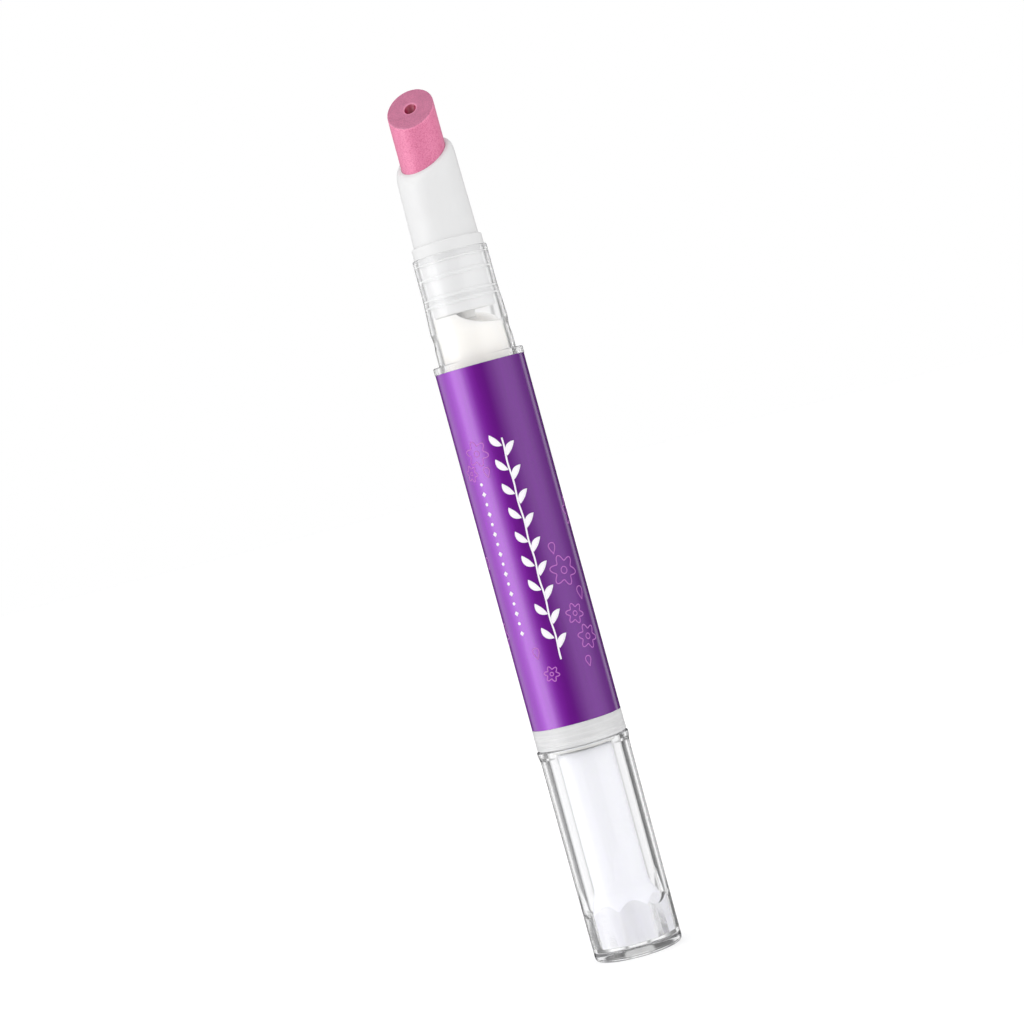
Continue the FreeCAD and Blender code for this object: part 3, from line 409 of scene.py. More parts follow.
def rounded_outline(corners, steps=ROUND_STEPS, closed=True):
    """Outline through corners, which are rows of radius, height and rounding. Each rounding starts
    at a point A before its corner P and ends at B after it, both at the rounding's distance, along
    the quadratic curve (1-t)^2 A + 2t(1-t) P + t^2 B. More columns are carried along as they are.
    The ends of an open outline aren't rounded."""
    corners = np.array(corners, float)
    points, cuts, carried = corners[:, :2], corners[:, 2], corners[:, 3:]
    if not closed:
        cuts[[0, -1]] = 0.0
    before = np.roll(points, 1, axis=0) - points
    after = np.roll(points, -1, axis=0) - points
    reach_before = np.maximum(np.linalg.norm(before, axis=1), TINY)
    reach_after = np.maximum(np.linalg.norm(after, axis=1), TINY)
    cuts = np.minimum(cuts, 0.48 * np.minimum(reach_before, reach_after))
    start = (points + before * (cuts / reach_before)[:, None])[:, None]
    finish = (points + after * (cuts / reach_after)[:, None])[:, None]
    t = np.linspace(0.0, 1.0, steps)[None, :, None]
    curve = (1 - t) ** 2 * start + 2 * t * (1 - t) * points[:, None] + t ** 2 * finish
    outline = np.hstack([curve.reshape(-1, 2), np.repeat(carried, steps, axis=0)])
    if closed:
        outline = np.vstack([outline, outline[:1]])
    return outline


def turned_points(radii, heights, angles):
    """Points of a turned surface: (r cos a, r sin a, z), where r and z may change with row and
    column."""
    shape = np.broadcast_shapes(np.shape(radii), np.shape(heights), (1, len(angles)))
    radii = np.broadcast_to(radii, shape)
    heights = np.broadcast_to(heights, shape)
    return np.stack([radii * np.cos(angles), radii * np.sin(angles), heights], axis=-1)


def turned_rows(rows, angles):
    """Points of a turned surface from rows of radius and height, each of them one number for the
    whole row or one for each column."""
    radii, heights = (
        np.array([np.broadcast_to(row[part], angles.shape) for row in rows]) for part in (0, 1)
    )
    return turned_points(radii, heights, angles)


def octagon_radius(angles, flat_radius, turn):
    """Distance from the axis to an octagon with softened corners: the flat radius over the 40th
    root of the sum of the 40th powers of the cosines to its eight sides."""
    sides = turn + FULL_TURN * (np.arange(SIDES) + 0.5) / SIDES
    cosines = np.clip(np.cos(angles[None, :] - sides[:, None]), 0.0, None)
    return flat_radius / np.sum(cosines ** 40, axis=0) ** (1 / 40)


def grid_faces(rows, columns):
    """Corner indices of the quads of a grid, turning the same way round."""
    index = np.arange(rows * columns).reshape(rows, columns)
    quads = [index[:-1, :-1], index[:-1, 1:], index[1:, 1:], index[1:, :-1]]
    return np.stack(quads, axis=-1).reshape(-1, 4)


def mesh_piece(name, points, faces, finish, uv=None):
    """A welded, smooth-shaded mesh object of points and faces, with one material."""
    mesh = bpy.data.meshes.new(name)
    mesh.from_pydata(points.reshape(-1, 3).tolist(), [], faces.tolist())
    if uv is not None:
        layer = mesh.uv_layers.new(name="wrap")
        corners = uv.reshape(-1, 2)[faces.ravel()]
        layer.data.foreach_set("uv", corners.ravel().astype(np.float32))
    work = bmesh.new()
    work.from_mesh(mesh)
    bmesh.ops.remove_doubles(work, verts=work.verts, dist=WELD_DISTANCE)
    bmesh.ops.dissolve_degenerate(work, edges=work.edges, dist=WELD_DISTANCE)
    work.to_mesh(mesh)
    work.free()
    mesh.shade_smooth()
    mesh.materials.append(finish)
    piece = bpy.data.objects.new(name, mesh)
    bpy.context.scene.collection.objects.link(piece)
    return piece


def grid_piece(name, points, finish):
    """A piece of one grid of points, with a UV map of share round the axis and share of the
    rows."""
    rows, columns = points.shape[:2]
    across, along = np.meshgrid(np.linspace(0, 1, columns), np.linspace(0, 1, rows))
    uv = np.stack([across, along], axis=-1)
    piece = mesh_piece(name, points, grid_faces(rows, columns), finish, uv)
    even = piece.modifiers.new("even_shading", "WEIGHTED_NORMAL")
    even.mode = "FACE_AREA"
    even.weight = 50
    even.keep_sharp = False
    return piece


def turned_piece(name, corners, finish):
    """A piece turned about Z from the corners of its outline, run outside up and inside down."""
    outline = rounded_outline(corners)
    points = turned_points(outline[:, :1], outline[:, 1:], column_angles())
    return grid_piece(name, points, finish)


def seat_piece(piece, body, slot, *nodes):
    """Rides a piece on its body and hides the frame's nodes that it stands for. Its slot is not
    used.
    """
    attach(piece, body)
    if nodes:
        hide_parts(*nodes)


# Materials


class NodeBench:
    """The node tree of a material or world, built node by node."""

    def __init__(self, owner):
        self.owner = owner
        owner.use_nodes = True
        self.tree = owner.node_tree
        self.tree.nodes.clear()

    def feed(self, socket, value):
        """Gives an input its value, or the output socket that feeds it."""
        if isinstance(value, bpy.types.NodeSocket):
            self.tree.links.new(value, socket)
        else:
            socket.default_value = value

    def node(self, kind, inputs=None, **settings):
        """Adds a node with its inputs and settings."""
        made = self.tree.nodes.new(kind)
        for key, value in settings.items():
            setattr(made, key, value)
        for key, value in (inputs or {}).items():
            self.feed(made.inputs[key], value)
        return made

    def coordinates(self, scale=(1.0, 1.0, 1.0)):
        """Object coordinates, scaled."""
        source = self.node("ShaderNodeTexCoord").outputs["Object"]
        made = self.node("ShaderNodeMapping", {"Vector": source, "Scale": scale})
        return made.outputs["Vector"]

    def rows(self):
        """Share of the rows along a grid piece's own UV map."""
        source = self.node("ShaderNodeUVMap", uv_map="wrap").outputs["UV"]
        return self.node("ShaderNodeSeparateXYZ", {"Vector": source}).outputs["Y"]

    def along(self, vector, direction):
        """Part of a vector that lies along a direction."""
        made = self.node("ShaderNodeVectorMath", {0: vector, 1: direction}, operation="DOT_PRODUCT")
        return made.outputs["Value"]

    def axis_distance(self):
        """Distance from the pen's axis."""
        level = self.coordinates((1.0, 1.0, 0.0))
        return self.node("ShaderNodeVectorMath", {0: level}, operation="LENGTH").outputs["Value"]

    def noise(self, grain, detail=3.0, stretch=(1.0, 1.0, 1.0)):
        """Noise whose patches are about one grain wide."""
        made = self.node("ShaderNodeTexNoise", {
            "Vector": self.coordinates(stretch), "Scale": 1.0 / grain, "Detail": detail,
            "Roughness": 0.55,
        })
        return made.outputs["Fac"]

    def cells(self, grain):
        """Cell texture whose cells are about one grain wide."""
        inputs = {"Vector": self.coordinates(), "Scale": 1.0 / grain}
        return self.node("ShaderNodeTexVoronoi", inputs).outputs["Distance"]

    def span(self, value, low, high, to_low, to_high):
        """Maps a value from one range to another, clamped."""
        made = self.node("ShaderNodeMapRange", {
            "Value": value, "From Min": low, "From Max": high, "To Min": to_low, "To Max": to_high,
        })
        return made.outputs["Result"]

    def hump(self, value, rise, fall, peak=1.0):
        """Climbs from 0 to a peak over the rise, and goes back to 0 over the fall."""
        up = self.span(value, *rise, 0.0, peak)
        down = self.span(value, *fall, 1.0, 0.0)
        return self.math("MULTIPLY", up, down)

    def blend(self, share, first, second):
        """Mixes two colours, which are the node's inputs 6 and 7, by a share into its output 2."""
        made = self.node("ShaderNodeMix", {"Factor": share}, data_type="RGBA")
        for key, value in ((6, first), (7, second)):
            is_socket = isinstance(value, bpy.types.NodeSocket)
            self.feed(made.inputs[key], value if is_socket else (*value, 1.0))
        return made.outputs[2]

    def mottle(self, pattern, low, high, amount, first, second):
        """Mixes two colours by a pattern: none of the second up to its low value, and the amount
        of it from its high value on."""
        return self.blend(self.span(pattern, low, high, 0.0, amount), first, second)

    def math(self, operation, first, second=0.0):
        """One step of arithmetic."""
        return self.node("ShaderNodeMath", {0: first, 1: second}, operation=operation).outputs[0]

    def bump(self, height, distance, strength, below=None):
        """Bump of a height in metres, over the bump below it."""
        inputs = {"Height": height, "Distance": distance, "Strength": strength}
        if below is not None:
            inputs["Normal"] = below
        return self.node("ShaderNodeBump", inputs).outputs["Normal"]

    def finish(self, inputs, clear=False):
        """Ends a material in a shader with these inputs. A clear material lets lamp and bounce
        light straight through."""
        shader = self.node("ShaderNodeBsdfPrincipled", inputs).outputs[0]
        if clear:
            rays = self.node("ShaderNodeLightPath").outputs
            free = self.math("MAXIMUM", rays["Is Shadow Ray"], rays["Is Diffuse Ray"])
            through = self.node("ShaderNodeBsdfTransparent", {"Color": (0.97, 0.97, 0.97, 1.0)})
            mixed = self.node("ShaderNodeMixShader", {0: free, 1: shader, 2: through.outputs[0]})
            shader = mixed.outputs[0]
        self.node("ShaderNodeOutputMaterial", {"Surface": shader})
        return self.owner


def material_bench(name):
    """A node bench on a new material."""
    return NodeBench(bpy.data.materials.new(name))


def tinted(tint, share, added=0.0):
    """A colour made darker or lighter by a share, and paler by what is added."""
    return tuple(min(1.0, channel * share + added) for channel in tint)


def clear_finish(name, tint, haze, frost_from=1.0, frost=0.0):
    """Polished clear plastic: faint mould waves, a little haze, and hair scratches that dull the
    gloss. Rows past a share of them can be frosted, which makes them rougher."""
    bench = material_bench(name)
    waves = bench.noise(3.0 * MM, 2.0, stretch=(1.0, 1.0, 0.4))
    hairs = bench.noise(0.25 * MM, 4.0, stretch=(1.0, 1.0, 0.08))
    rough = bench.span(hairs, 0.55, 0.8, 0.0, 0.06)
    if frost > 0:
        frosted = bench.math("GREATER_THAN", bench.rows(), frost_from)
        rough = bench.math("ADD", rough, bench.math("MULTIPLY", frosted, frost))
    return bench.finish({
        "Base Color": (*tint, 1.0), "Roughness": rough, "IOR": 1.49,
        "Transmission Weight": 1.0 - haze, "Normal": bench.bump(waves, 0.004 * MM, 0.4),
    }, clear=True)


def pearl_finish(name, tint, foot_shade_tint, foot_share):
    """Pale lavender moulding: milky, with fine flow marks along it and a soft gloss. The flats of
    its foot, which are the first share of its rows, are tinted greyer and darker: painted shade."""
    bench = material_bench(name)
    flow = bench.noise(1.2 * MM, stretch=(1.0, 1.0, 0.12))
    grain = bench.noise(0.12 * MM, 2.0)
    # The foot's flats get the greyer, darker foot tint: painted shade.
    shade = bench.blend(bench.math("LESS_THAN", bench.rows(), foot_share), tint, foot_shade_tint)
    shade = bench.mottle(flow, 0.35, 0.65, 0.2, shade, tint)
    return bench.finish({
        "Base Color": shade, "Roughness": bench.span(grain, 0.3, 0.7, 0.2, 0.32), "IOR": 1.5,
        "Subsurface Weight": 0.6, "Subsurface Radius": (1.0, 0.95, 1.1),
        "Subsurface Scale": 1.6 * MM, "Normal": bench.bump(grain, 0.003 * MM, 0.5),
    })


def frosted_finish(name, tint):
    """Frosted natural plastic: light soaks in, over fine turned rings and a spark-eroded grain."""
    bench = material_bench(name)
    rings = bench.noise(0.35 * MM, 2.0, stretch=(0.06, 0.06, 1.0))
    cloud = bench.noise(1.8 * MM)
    grain = bench.noise(0.09 * MM)
    shade = bench.mottle(cloud, 0.35, 0.65, 1.0, tinted(tint, 0.95), tint)
    shade = bench.mottle(rings, 0.4, 0.62, 0.6, shade, tinted(tint, 1.12))
    low = bench.bump(rings, 0.012 * MM, 0.6)
    return bench.finish({
        "Base Color": shade, "Roughness": bench.span(grain, 0.3, 0.7, 0.3, 0.44), "IOR": 1.5,
        "Transmission Weight": 0.2, "Subsurface Weight": 0.4, "Subsurface Radius": (1.0, 1.0, 1.0),
        "Subsurface Scale": 0.8 * MM, "Normal": bench.bump(grain, 0.005 * MM, 0.5, low),
    })


def satin_finish(name, tint):
    """White satin moulding with a slight orange-peel and soft variation."""
    bench = material_bench(name)
    cloud = bench.noise(2.5 * MM)
    peel = bench.noise(0.35 * MM, 2.0)
    grain = bench.noise(0.07 * MM, 2.0)
    low = bench.bump(peel, 0.004 * MM, 0.5)
    return bench.finish({
        "Base Color": bench.mottle(cloud, 0.35, 0.65, 1.0, tinted(tint, 0.98), tint),
        "Roughness": bench.span(grain, 0.3, 0.7, 0.36, 0.48), "IOR": 1.5,
        "Subsurface Weight": 0.2, "Subsurface Radius": (1.0, 1.0, 1.0),
        "Subsurface Scale": 0.6 * MM, "Normal": bench.bump(grain, 0.002 * MM, 0.5, low),
    })


def film_finish(name, tint):
    """Metallic printed film: fine flake, a faint lengthwise grain and a pearly clear layer on
    top."""
    bench = material_bench(name)
    flake = bench.cells(0.05 * MM)
    streak = bench.noise(0.5 * MM, stretch=(1.0, 1.0, 0.05))
    wave = bench.noise(5.0 * MM, 2.0)
    shade = bench.mottle(flake, 0.1, 0.9, 1.0, tint, tinted(tint, 0.88))
    shade = bench.mottle(streak, 0.35, 0.65, 0.35, shade, tinted(tint, 1.12))
    low = bench.bump(wave, 0.006 * MM, 0.5)
    return bench.finish({
        "Base Color": shade, "Metallic": 1.0,
        "Roughness": bench.span(flake, 0.1, 0.9, 0.56, 0.68),
        "Coat Weight": 1.0, "Coat IOR": 1.68, "Coat Roughness": 0.16,
        "Normal": bench.bump(flake, 0.0015 * MM, 0.5, low),
    })


def ink_finish(name, tint):
    """Printed ink with a slightly uneven cover."""
    bench = material_bench(name)
    cover = bench.noise(0.12 * MM)
    return bench.finish({
        "Base Color": bench.mottle(cover, 0.3, 0.7, 1.0, tinted(tint, 0.93), tint),
        "Roughness": bench.span(cover, 0.3, 0.7, 0.35, 0.5),
        "Normal": bench.bump(cover, 0.002 * MM, 0.5),
    })


def oil_finish(name, tint):
    """Pale cream oil: cloudy, with a faint haze that drifts in it and a wet gloss."""
    bench = material_bench(name)
    haze = bench.noise(2.0 * MM, 2.0, stretch=(1.0, 1.0, 0.3))
    return bench.finish({
        "Base Color": bench.mottle(haze, 0.3, 0.7, 1.0, tinted(tint, 0.985), tint),
        "Roughness": bench.span(haze, 0.3, 0.7, 0.1, 0.2), "IOR": 1.46,
        "Specular IOR Level": 0.12, "Subsurface Weight": 0.8,
        "Subsurface Radius": (1.0, 0.97, 0.9), "Subsurface Scale": 2.5 * MM,
    })


def porous_finish(name, nib, face_normal, face_height):
    """Sintered pink plastic: packed round grains with open pores. The slanted face, which lies at
    a height along its normal, is cut and painted darker, as painted shade, for it looks up where
    the light is dimmer. Its rounded edges carry a paler band, a painted highlight, and the outlet
    is painted dark, as painted shade of its depth, with a paler ring around it."""
    bench = material_bench(name)
    grains = bench.cells(0.15 * MM)
    fine = bench.noise(0.09 * MM)
    cloud = bench.noise(0.8 * MM)
    height = bench.along(bench.coordinates(), face_normal)
    depth = bench.math("SUBTRACT", face_height, height)
    on_face = bench.span(depth, 0.03 * MM, 0.07 * MM, 1.0, 0.0)
    # A paler band on the face's rounded edge: painted highlight.
    edge = bench.hump(depth, (0.02 * MM, 0.06 * MM), (0.10 * MM, 0.26 * MM), 0.5)
    pale = tinted(nib.tint, 1.12, 0.08)
    pores = bench.blend(on_face, nib.pore_tint, tinted(nib.face_shade_tint, 0.8))
    # The cut face gets the darker face tint: painted shade.
    shade = bench.blend(on_face, nib.tint, nib.face_shade_tint)
    shade = bench.blend(edge, shade, pale)
    shade = bench.mottle(cloud, 0.42, 0.7, 0.22, shade, pale)
    shade = bench.mottle(grains, 0.4, 0.78, 0.85, shade, pores)
    shade = bench.mottle(fine, 0.5, 0.75, 0.35, shade, pale)
    reach, hole = bench.axis_distance(), nib.hole_radius
    ring = bench.hump(reach, (hole, hole * 1.06), (hole * 1.15, hole * 1.4), 0.45)
    shade = bench.blend(ring, shade, pale)
    # Inside the outlet the colour goes dark: painted shade of the hole.
    shade = bench.blend(bench.span(reach, hole, hole * 1.04, 1.0, 0.0), shade, nib.outlet_shade_tint)
    low = bench.bump(grains, -0.012 * MM, 0.7)
    return bench.finish({
        "Base Color": shade, "Roughness": bench.span(fine, 0.3, 0.7, 0.36, 0.5), "IOR": 1.72,
        "Subsurface Weight": 0.1, "Subsurface Radius": (1.0, 0.45, 0.6),
        "Subsurface Scale": 0.2 * MM, "Normal": bench.bump(fine, 0.004 * MM, 0.6, low),
    })


def moulded_finish(name, tint, roughness, grain_height):
    """Plain moulded plastic or rubber with a fine grain, whose height is in millimetres."""
    bench = material_bench(name)
    cloud = bench.noise(1.5 * MM)
    grain = bench.noise(0.1 * MM)
    return bench.finish({
        "Base Color": bench.mottle(cloud, 0.35, 0.65, 1.0, tinted(tint, 0.93), tint),
        "Roughness": bench.span(grain, 0.3, 0.7, roughness - 0.06, roughness + 0.08),
        "Normal": bench.bump(grain, grain_height * MM, 0.6),
    })


# Operators, one for each piece or group of like pieces


class PEN_OT_knob(bpy.types.Operator):
    """Builds the clear twist knob, with its octagonal socket"""
    bl_idname = "nail_pen.knob"
    bl_label = "Twist knob"

    def execute(self, context):
        size, core = context.scene.nail_pen.knob, context.scene.nail_pen.core
        rim = node_top("twist_knob")
        lip_foot = rim - size.lip_height
        lip = size.outside + size.lip_stand
        socket_top = size.floor + size.socket_depth
        outline = rounded_outline([
            (0, 0, 0),
            (size.outside - size.draft, 0, size.base_round),
            (size.outside, lip_foot - size.lip_flare, size.flare_round),
            (lip, lip_foot, size.lip_round),
            (lip, rim, size.rim_round),
            (size.bore, rim, size.bore_round),
            (size.bore, socket_top + size.lead_in, 0),
        ], closed=False)
        angles = column_angles(core.turn)
        # The socket's wall is an octagon just outside the core's foot. A cone leads down to it
        # from the bore, and they meet where both have the same radius, which draws a row of
        # scallops.
        flat = core.flat_radius + size.socket_gap
        octagon = octagon_radius(angles, flat, core.turn)
        way_out = np.clip((octagon - flat) / (size.bore - flat), 0.0, 0.9)
        scallop = socket_top + size.lead_in * way_out
        soft = size.socket_round
        rows = outline.tolist() + [
            (octagon + soft * 0.3, scallop + soft), (octagon, scallop - soft),
            (octagon, size.floor + 2 * soft), (octagon - 2 * soft, size.floor), (0, size.floor),
        ]
        # The frost starts between the two rows that run along the scallops.
        frost_from = (len(outline) + 0.5) / (len(rows) - 1)
        finish = clear_finish(
            "clear_knob_plastic", size.tint, size.haze, frost_from, size.socket_frost,
        )
        piece = grid_piece("clear_knob", turned_rows(rows, angles), finish)
        seat_piece(piece, "knob_body", "clear_plastic", "twist_knob")
        return {"FINISHED"}


class PEN_OT_core(bpy.types.Operator):
    """Builds the pearl drive core, with the arches that its chamfer leaves on the foot"""
    bl_idname = "nail_pen.core"
    bl_label = "Drive core"

    def execute(self, context):
        size = context.scene.nail_pen.core
        foot, top = node_foot("drive_core"), node_top("drive_core")
        foot_top = foot + size.foot_height
        chamfer_foot = foot_top - size.chamfer_height
        shoulder = node_foot("pawl_ring")
        clip_foot, clip_top = node_foot("retaining_clip"), node_top("retaining_clip")
        ring_foot = node_foot("drag_ring") - size.ring_room
        ring_top = node_top("drag_ring") + size.ring_room
        clip_floor = size.neck_radius - size.clip_seat
        ring_floor = size.neck_radius - size.ring_seat
        guide_foot = top - size.guide_length
        angles = column_angles(size.turn)
        octagon = octagon_radius(angles, size.flat_radius, size.turn)
        # The chamfer's cone and the octagon meet where both have the same radius: that height
        # draws the arches.
        way_in = (size.corner_radius - octagon) / (size.corner_radius - size.flat_radius)
        arch = chamfer_foot + np.clip(way_in, 0.0, 0.97) * size.chamfer_height
        soft, edge = size.foot_round, size.edge_round
        rows = [
            (size.bore_radius, foot), (octagon - soft, foot), (octagon, foot + soft),
            (octagon, arch - soft), (octagon - soft * 0.3, arch + soft * 0.6),
            (size.flat_radius, foot_top),
        ]
        neck = [
            (size.flat_radius - soft * 0.4, foot_top + soft * 0.8, 0),
            (size.tube_radius, foot_top + size.cone_height, size.cone_round),
            (size.tube_radius, shoulder, edge), (size.neck_radius, shoulder, edge),
            (size.neck_radius, clip_foot, edge), (clip_floor, clip_foot, edge),
            (clip_floor, clip_top, edge), (size.neck_radius, clip_top, edge),
            (size.neck_radius, ring_foot, edge), (ring_floor, ring_foot, edge),
            (ring_floor, ring_top, edge), (size.neck_radius, ring_top, edge),
            (size.neck_radius, top, edge), (size.guide_radius, top, 0),
        ]
        rows += rounded_outline(neck, ROUND_STEPS - 1, closed=False).tolist()
        # The guide is round, cut off by two flats: the smaller of its radius and the flat's
        # distance over the sine of the angle.
        flats = size.guide_flat / np.maximum(np.abs(np.sin(angles)), TINY)
        guide = np.minimum(size.guide_radius, flats)
        rows += [(guide, top), (guide, guide_foot), (size.bore_radius, guide_foot), rows[0]]
        # The foot's flats end between the fourth row and the fifth.
        foot_share = 3.5 / (len(rows) - 1)
        finish = pearl_finish("pearl_core_plastic", size.tint, size.foot_shade_tint, foot_share)
        piece = grid_piece("pearl_core", turned_rows(rows, angles), finish)
        seat_piece(piece, "knob_body", "pearl_plastic", "drive_core")
        return {"FINISHED"}


class PEN_OT_collar(bpy.types.Operator):
    """Builds the frosted collar with its fine raised lines"""
    bl_idname = "nail_pen.collar"
    bl_label = "Collar"

    def execute(self, context):
        size = context.scene.nail_pen.collar
        top = node_top("end_collar")
        foot = top - size.height
        spigot_foot = foot - size.spigot_height
        spigot = context.scene.nail_pen.knob.bore - size.spigot_gap
        web_foot, web_top = node_top("ratchet_ring"), node_foot("guide_nut")
        line, edge = size.outside + size.line_stand, size.edge_round
        corners = [
            (size.ratchet_seat, spigot_foot, edge), (spigot, spigot_foot, size.rim_round),
            (spigot, foot, edge), (size.outside, foot, size.rim_round),
        ]
        for rise in LINE_RISES:
            low = foot + rise * size.line_height
            corners += [
                (size.outside, low, size.line_round),
                (line, low + size.line_height * 0.4, size.line_round),
                (line, low + size.line_height * 0.6, size.line_round),
                (size.outside, low + size.line_height, size.line_round),
            ]
        corners += [
            (size.outside, top, size.top_round), (size.nut_seat, top, edge),
            (size.nut_seat, web_top, edge), (size.hole_radius, web_top, edge),
            (size.hole_radius, web_foot, edge), (size.ratchet_seat, web_foot, edge),
        ]
        finish = frosted_finish("frosted_collar_plastic", size.tint)
        piece = turned_piece("frosted_collar", corners, finish)
        seat_piece(piece, "barrel_body", "frosted_plastic", "end_collar")
        return {"FINISHED"}


class PEN_OT_barrel(bpy.types.Operator):
    """Builds the clear barrel, its shoulder ring, snap groove and neck"""
    bl_idname = "nail_pen.barrel"
    bl_label = "Barrel"

    def execute(self, context):
        size = context.scene.nail_pen.barrel
        foot, top = node_foot("barrel"), node_top("barrel")
        film_top = node_top("label_sleeve")
        shoulder_top = film_top + size.shoulder_height
        groove, half = shoulder_top + size.groove_rise, size.groove_width / 2
        piece = turned_piece("clear_barrel", [
            (size.bore, foot, size.edge_round),
            (size.outside, foot, size.edge_round),
            (size.outside, film_top, size.film_end_round),
            (size.shoulder_radius, film_top, size.film_stop_round),
            (size.shoulder_radius, shoulder_top, size.shoulder_round),
            (size.band_radius, shoulder_top, size.edge_round),
            (size.band_radius, groove - half, size.groove_round),
            (size.band_radius - size.groove_depth, groove, size.groove_round),
            (size.band_radius, groove + half, size.groove_round),
            (size.band_radius, shoulder_top + size.band_length, size.taper_foot_round),
            (size.neck_radius, top - size.seat_length, size.taper_top_round),
            (size.neck_radius, top, size.rim_round),
            (size.bore, top, size.edge_round),
        ], clear_finish("clear_barrel_plastic", context.scene.nail_pen.knob.tint, size.haze))
        seat_piece(piece, "barrel_body", "clear_plastic", "barrel")
        return {"FINISHED"}


class PEN_OT_oil(bpy.types.Operator):
    """Builds the oil, with its curved surface under the air bubble"""
    bl_idname = "nail_pen.oil"
    bl_label = "Oil"

    def execute(self, context):
        size = context.scene.nail_pen.oil
        foot, top = node_foot("oil_charge"), node_top("oil_charge")
        wall = context.scene.nail_pen.barrel.bore - size.wall_gap
        tube = context.scene.nail_pen.nib.tube_radius + size.tube_gap
        tube_foot = node_foot("feed_tube") - size.tube_gap
        angles = column_angles()
        radii = tube + (wall - tube) * np.linspace(1.0, 0.0, OIL_ROWS)[:, None] ** 1.2
        # From its start towards the bubble's side, the surface falls by a slope and by a drop that
        # dies away exponentially. It climbs again, exponentially, close to the wall.
        along = radii * np.cos(angles - size.air_turn) + size.air_start
        under = np.maximum(along, 0.0)
        fall = size.air_slope * under + size.air_drop * (1 - np.exp(-under / size.drop_reach))
        climb = size.climb * np.exp(-(wall - radii) / size.climb_reach)
        climb = climb * np.clip(along / MM, 0.0, 1.0)
        # The bubble thins out to one side, where the oil still wets the wall up to the plug.
        sideways = np.clip(radii * np.sin(angles - size.air_turn) / wall, -1.0, 1.0)
        surface = top - (fall - climb) * np.sqrt(0.5 - 0.5 * sideways)
        # Rows run from the foot's middle out, up the wall, in over the surface and down the tube.
        rows = [
            (0, foot), (wall - size.foot_cut, foot), (wall, foot + size.foot_cut),
            *zip(radii, surface), (tube, tube_foot), (0, tube_foot),
        ]
        finish = oil_finish("cream_oil", size.tint)
        piece = grid_piece("oil_fill", turned_rows(rows, angles), finish)
        seat_piece(piece, "barrel_body", "oil", "oil_charge")
        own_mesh(piece)
        return {"FINISHED"}


class PEN_OT_film(bpy.types.Operator):
    """Builds the metallic film with its overlap at the back"""
    bl_idname = "nail_pen.film"
    bl_label = "Film"

    def execute(self, context):
        size, barrel = context.scene.nail_pen.film, context.scene.nail_pen.barrel
        foot, top = node_foot("label_sleeve"), node_top("label_sleeve")
        inner, outer = barrel.outside + size.glue, barrel.outside + size.thickness
        edge = size.edge_round
        outline = rounded_outline([
            (inner, foot, edge), (outer, foot, edge), (outer, top, edge), (inner, top, edge),
        ], ROUND_STEPS // 2)
        angles = column_angles(context.scene.nail_pen.stage.camera_azimuth + QUARTER_TURN)
        # The lap: the last stretch of film lies a step higher over the first, with one sharp edge.
        turned = (angles - angles[0]) * outer
        lap = np.clip((size.lap_width - turned) / size.lap_ramp, 0.0, 1.0) * size.lap_step
        lap[-1] = lap[0]
        share = (outline[:, :1] - inner) / size.thickness
        points = turned_points(outline[:, :1] + lap * share, outline[:, 1:], angles)
        piece = grid_piece("purple_film", points, film_finish("purple_metal_film", size.metal))
        seat_piece(piece, "barrel_body", "label_film", "label_sleeve")
        return {"FINISHED"}


def ribbon_piece(name, paths, widths, radius, height, depth, finish, closed=False):
    """Flat ribbons wrapped on a cylinder. A path runs on the unrolled wall (arc, height); its
    ribbon is as wide as widths say at each point, and its section is a thin closed box, from the
    depth under the wall to the height above it. A closed path ends on its first point and has no
    end faces."""
    paths = np.asarray(paths, float)
    widths = np.broadcast_to(np.asarray(widths, float), paths.shape[:2])
    along = np.gradient(paths, axis=1)
    if closed:
        along[:, 0] = along[:, -1] = paths[:, 1] - paths[:, -2]
    along /= np.maximum(np.linalg.norm(along, axis=2, keepdims=True), TINY)
    across = np.stack([-along[..., 1], along[..., 0]], axis=-1)
    left = paths + across * widths[..., None] / 2
    right = paths - across * widths[..., None] / 2
    flat = np.stack([left, right, right, left, left], axis=2)
    reach = radius + np.array([height, height, -depth, -depth, height])
    turn = flat[..., 0] / radius
    points = np.stack([reach * np.cos(turn), reach * np.sin(turn), flat[..., 1]], axis=-1)
    count, steps = paths.shape[:2]
    block = grid_faces(steps, 5)
    if not closed:
        block = np.vstack([block, [[3, 2, 1, 0]], 5 * (steps - 1) + np.array([[0, 1, 2, 3]])])
    faces = (block[None] + (np.arange(count) * steps * 5)[:, None, None]).reshape(-1, 4)
    return mesh_piece(name, points, faces, finish)


def leaf_paths(places, turn, size):
    """Spines of leaves: from each place, a leaf's length along its turn, bent to one side by a
    sine."""
    t = np.linspace(0.0, 1.0, LEAF_STEPS)
    run = np.stack([t * size, 0.12 * size * np.sin(math.pi * t)], axis=-1)
    cosine, sine = math.cos(turn), math.sin(turn)
    return places[:, None] + run @ np.array([(cosine, sine), (-sine, cosine)])


def ring_paths(places, radii, steps, wobble=0.0, petals=0, turn=0.0):
    """Closed rings round each place; a wobble draws them out into petals: r (1 + w cos(p a))."""
    a = np.linspace(0.0, FULL_TURN, steps)
    reach = radii[:, None] * (1 + wobble * np.cos(petals * (a + turn)))
    return places[:, None] + np.stack([reach * np.cos(a), reach * np.sin(a)], axis=-1)


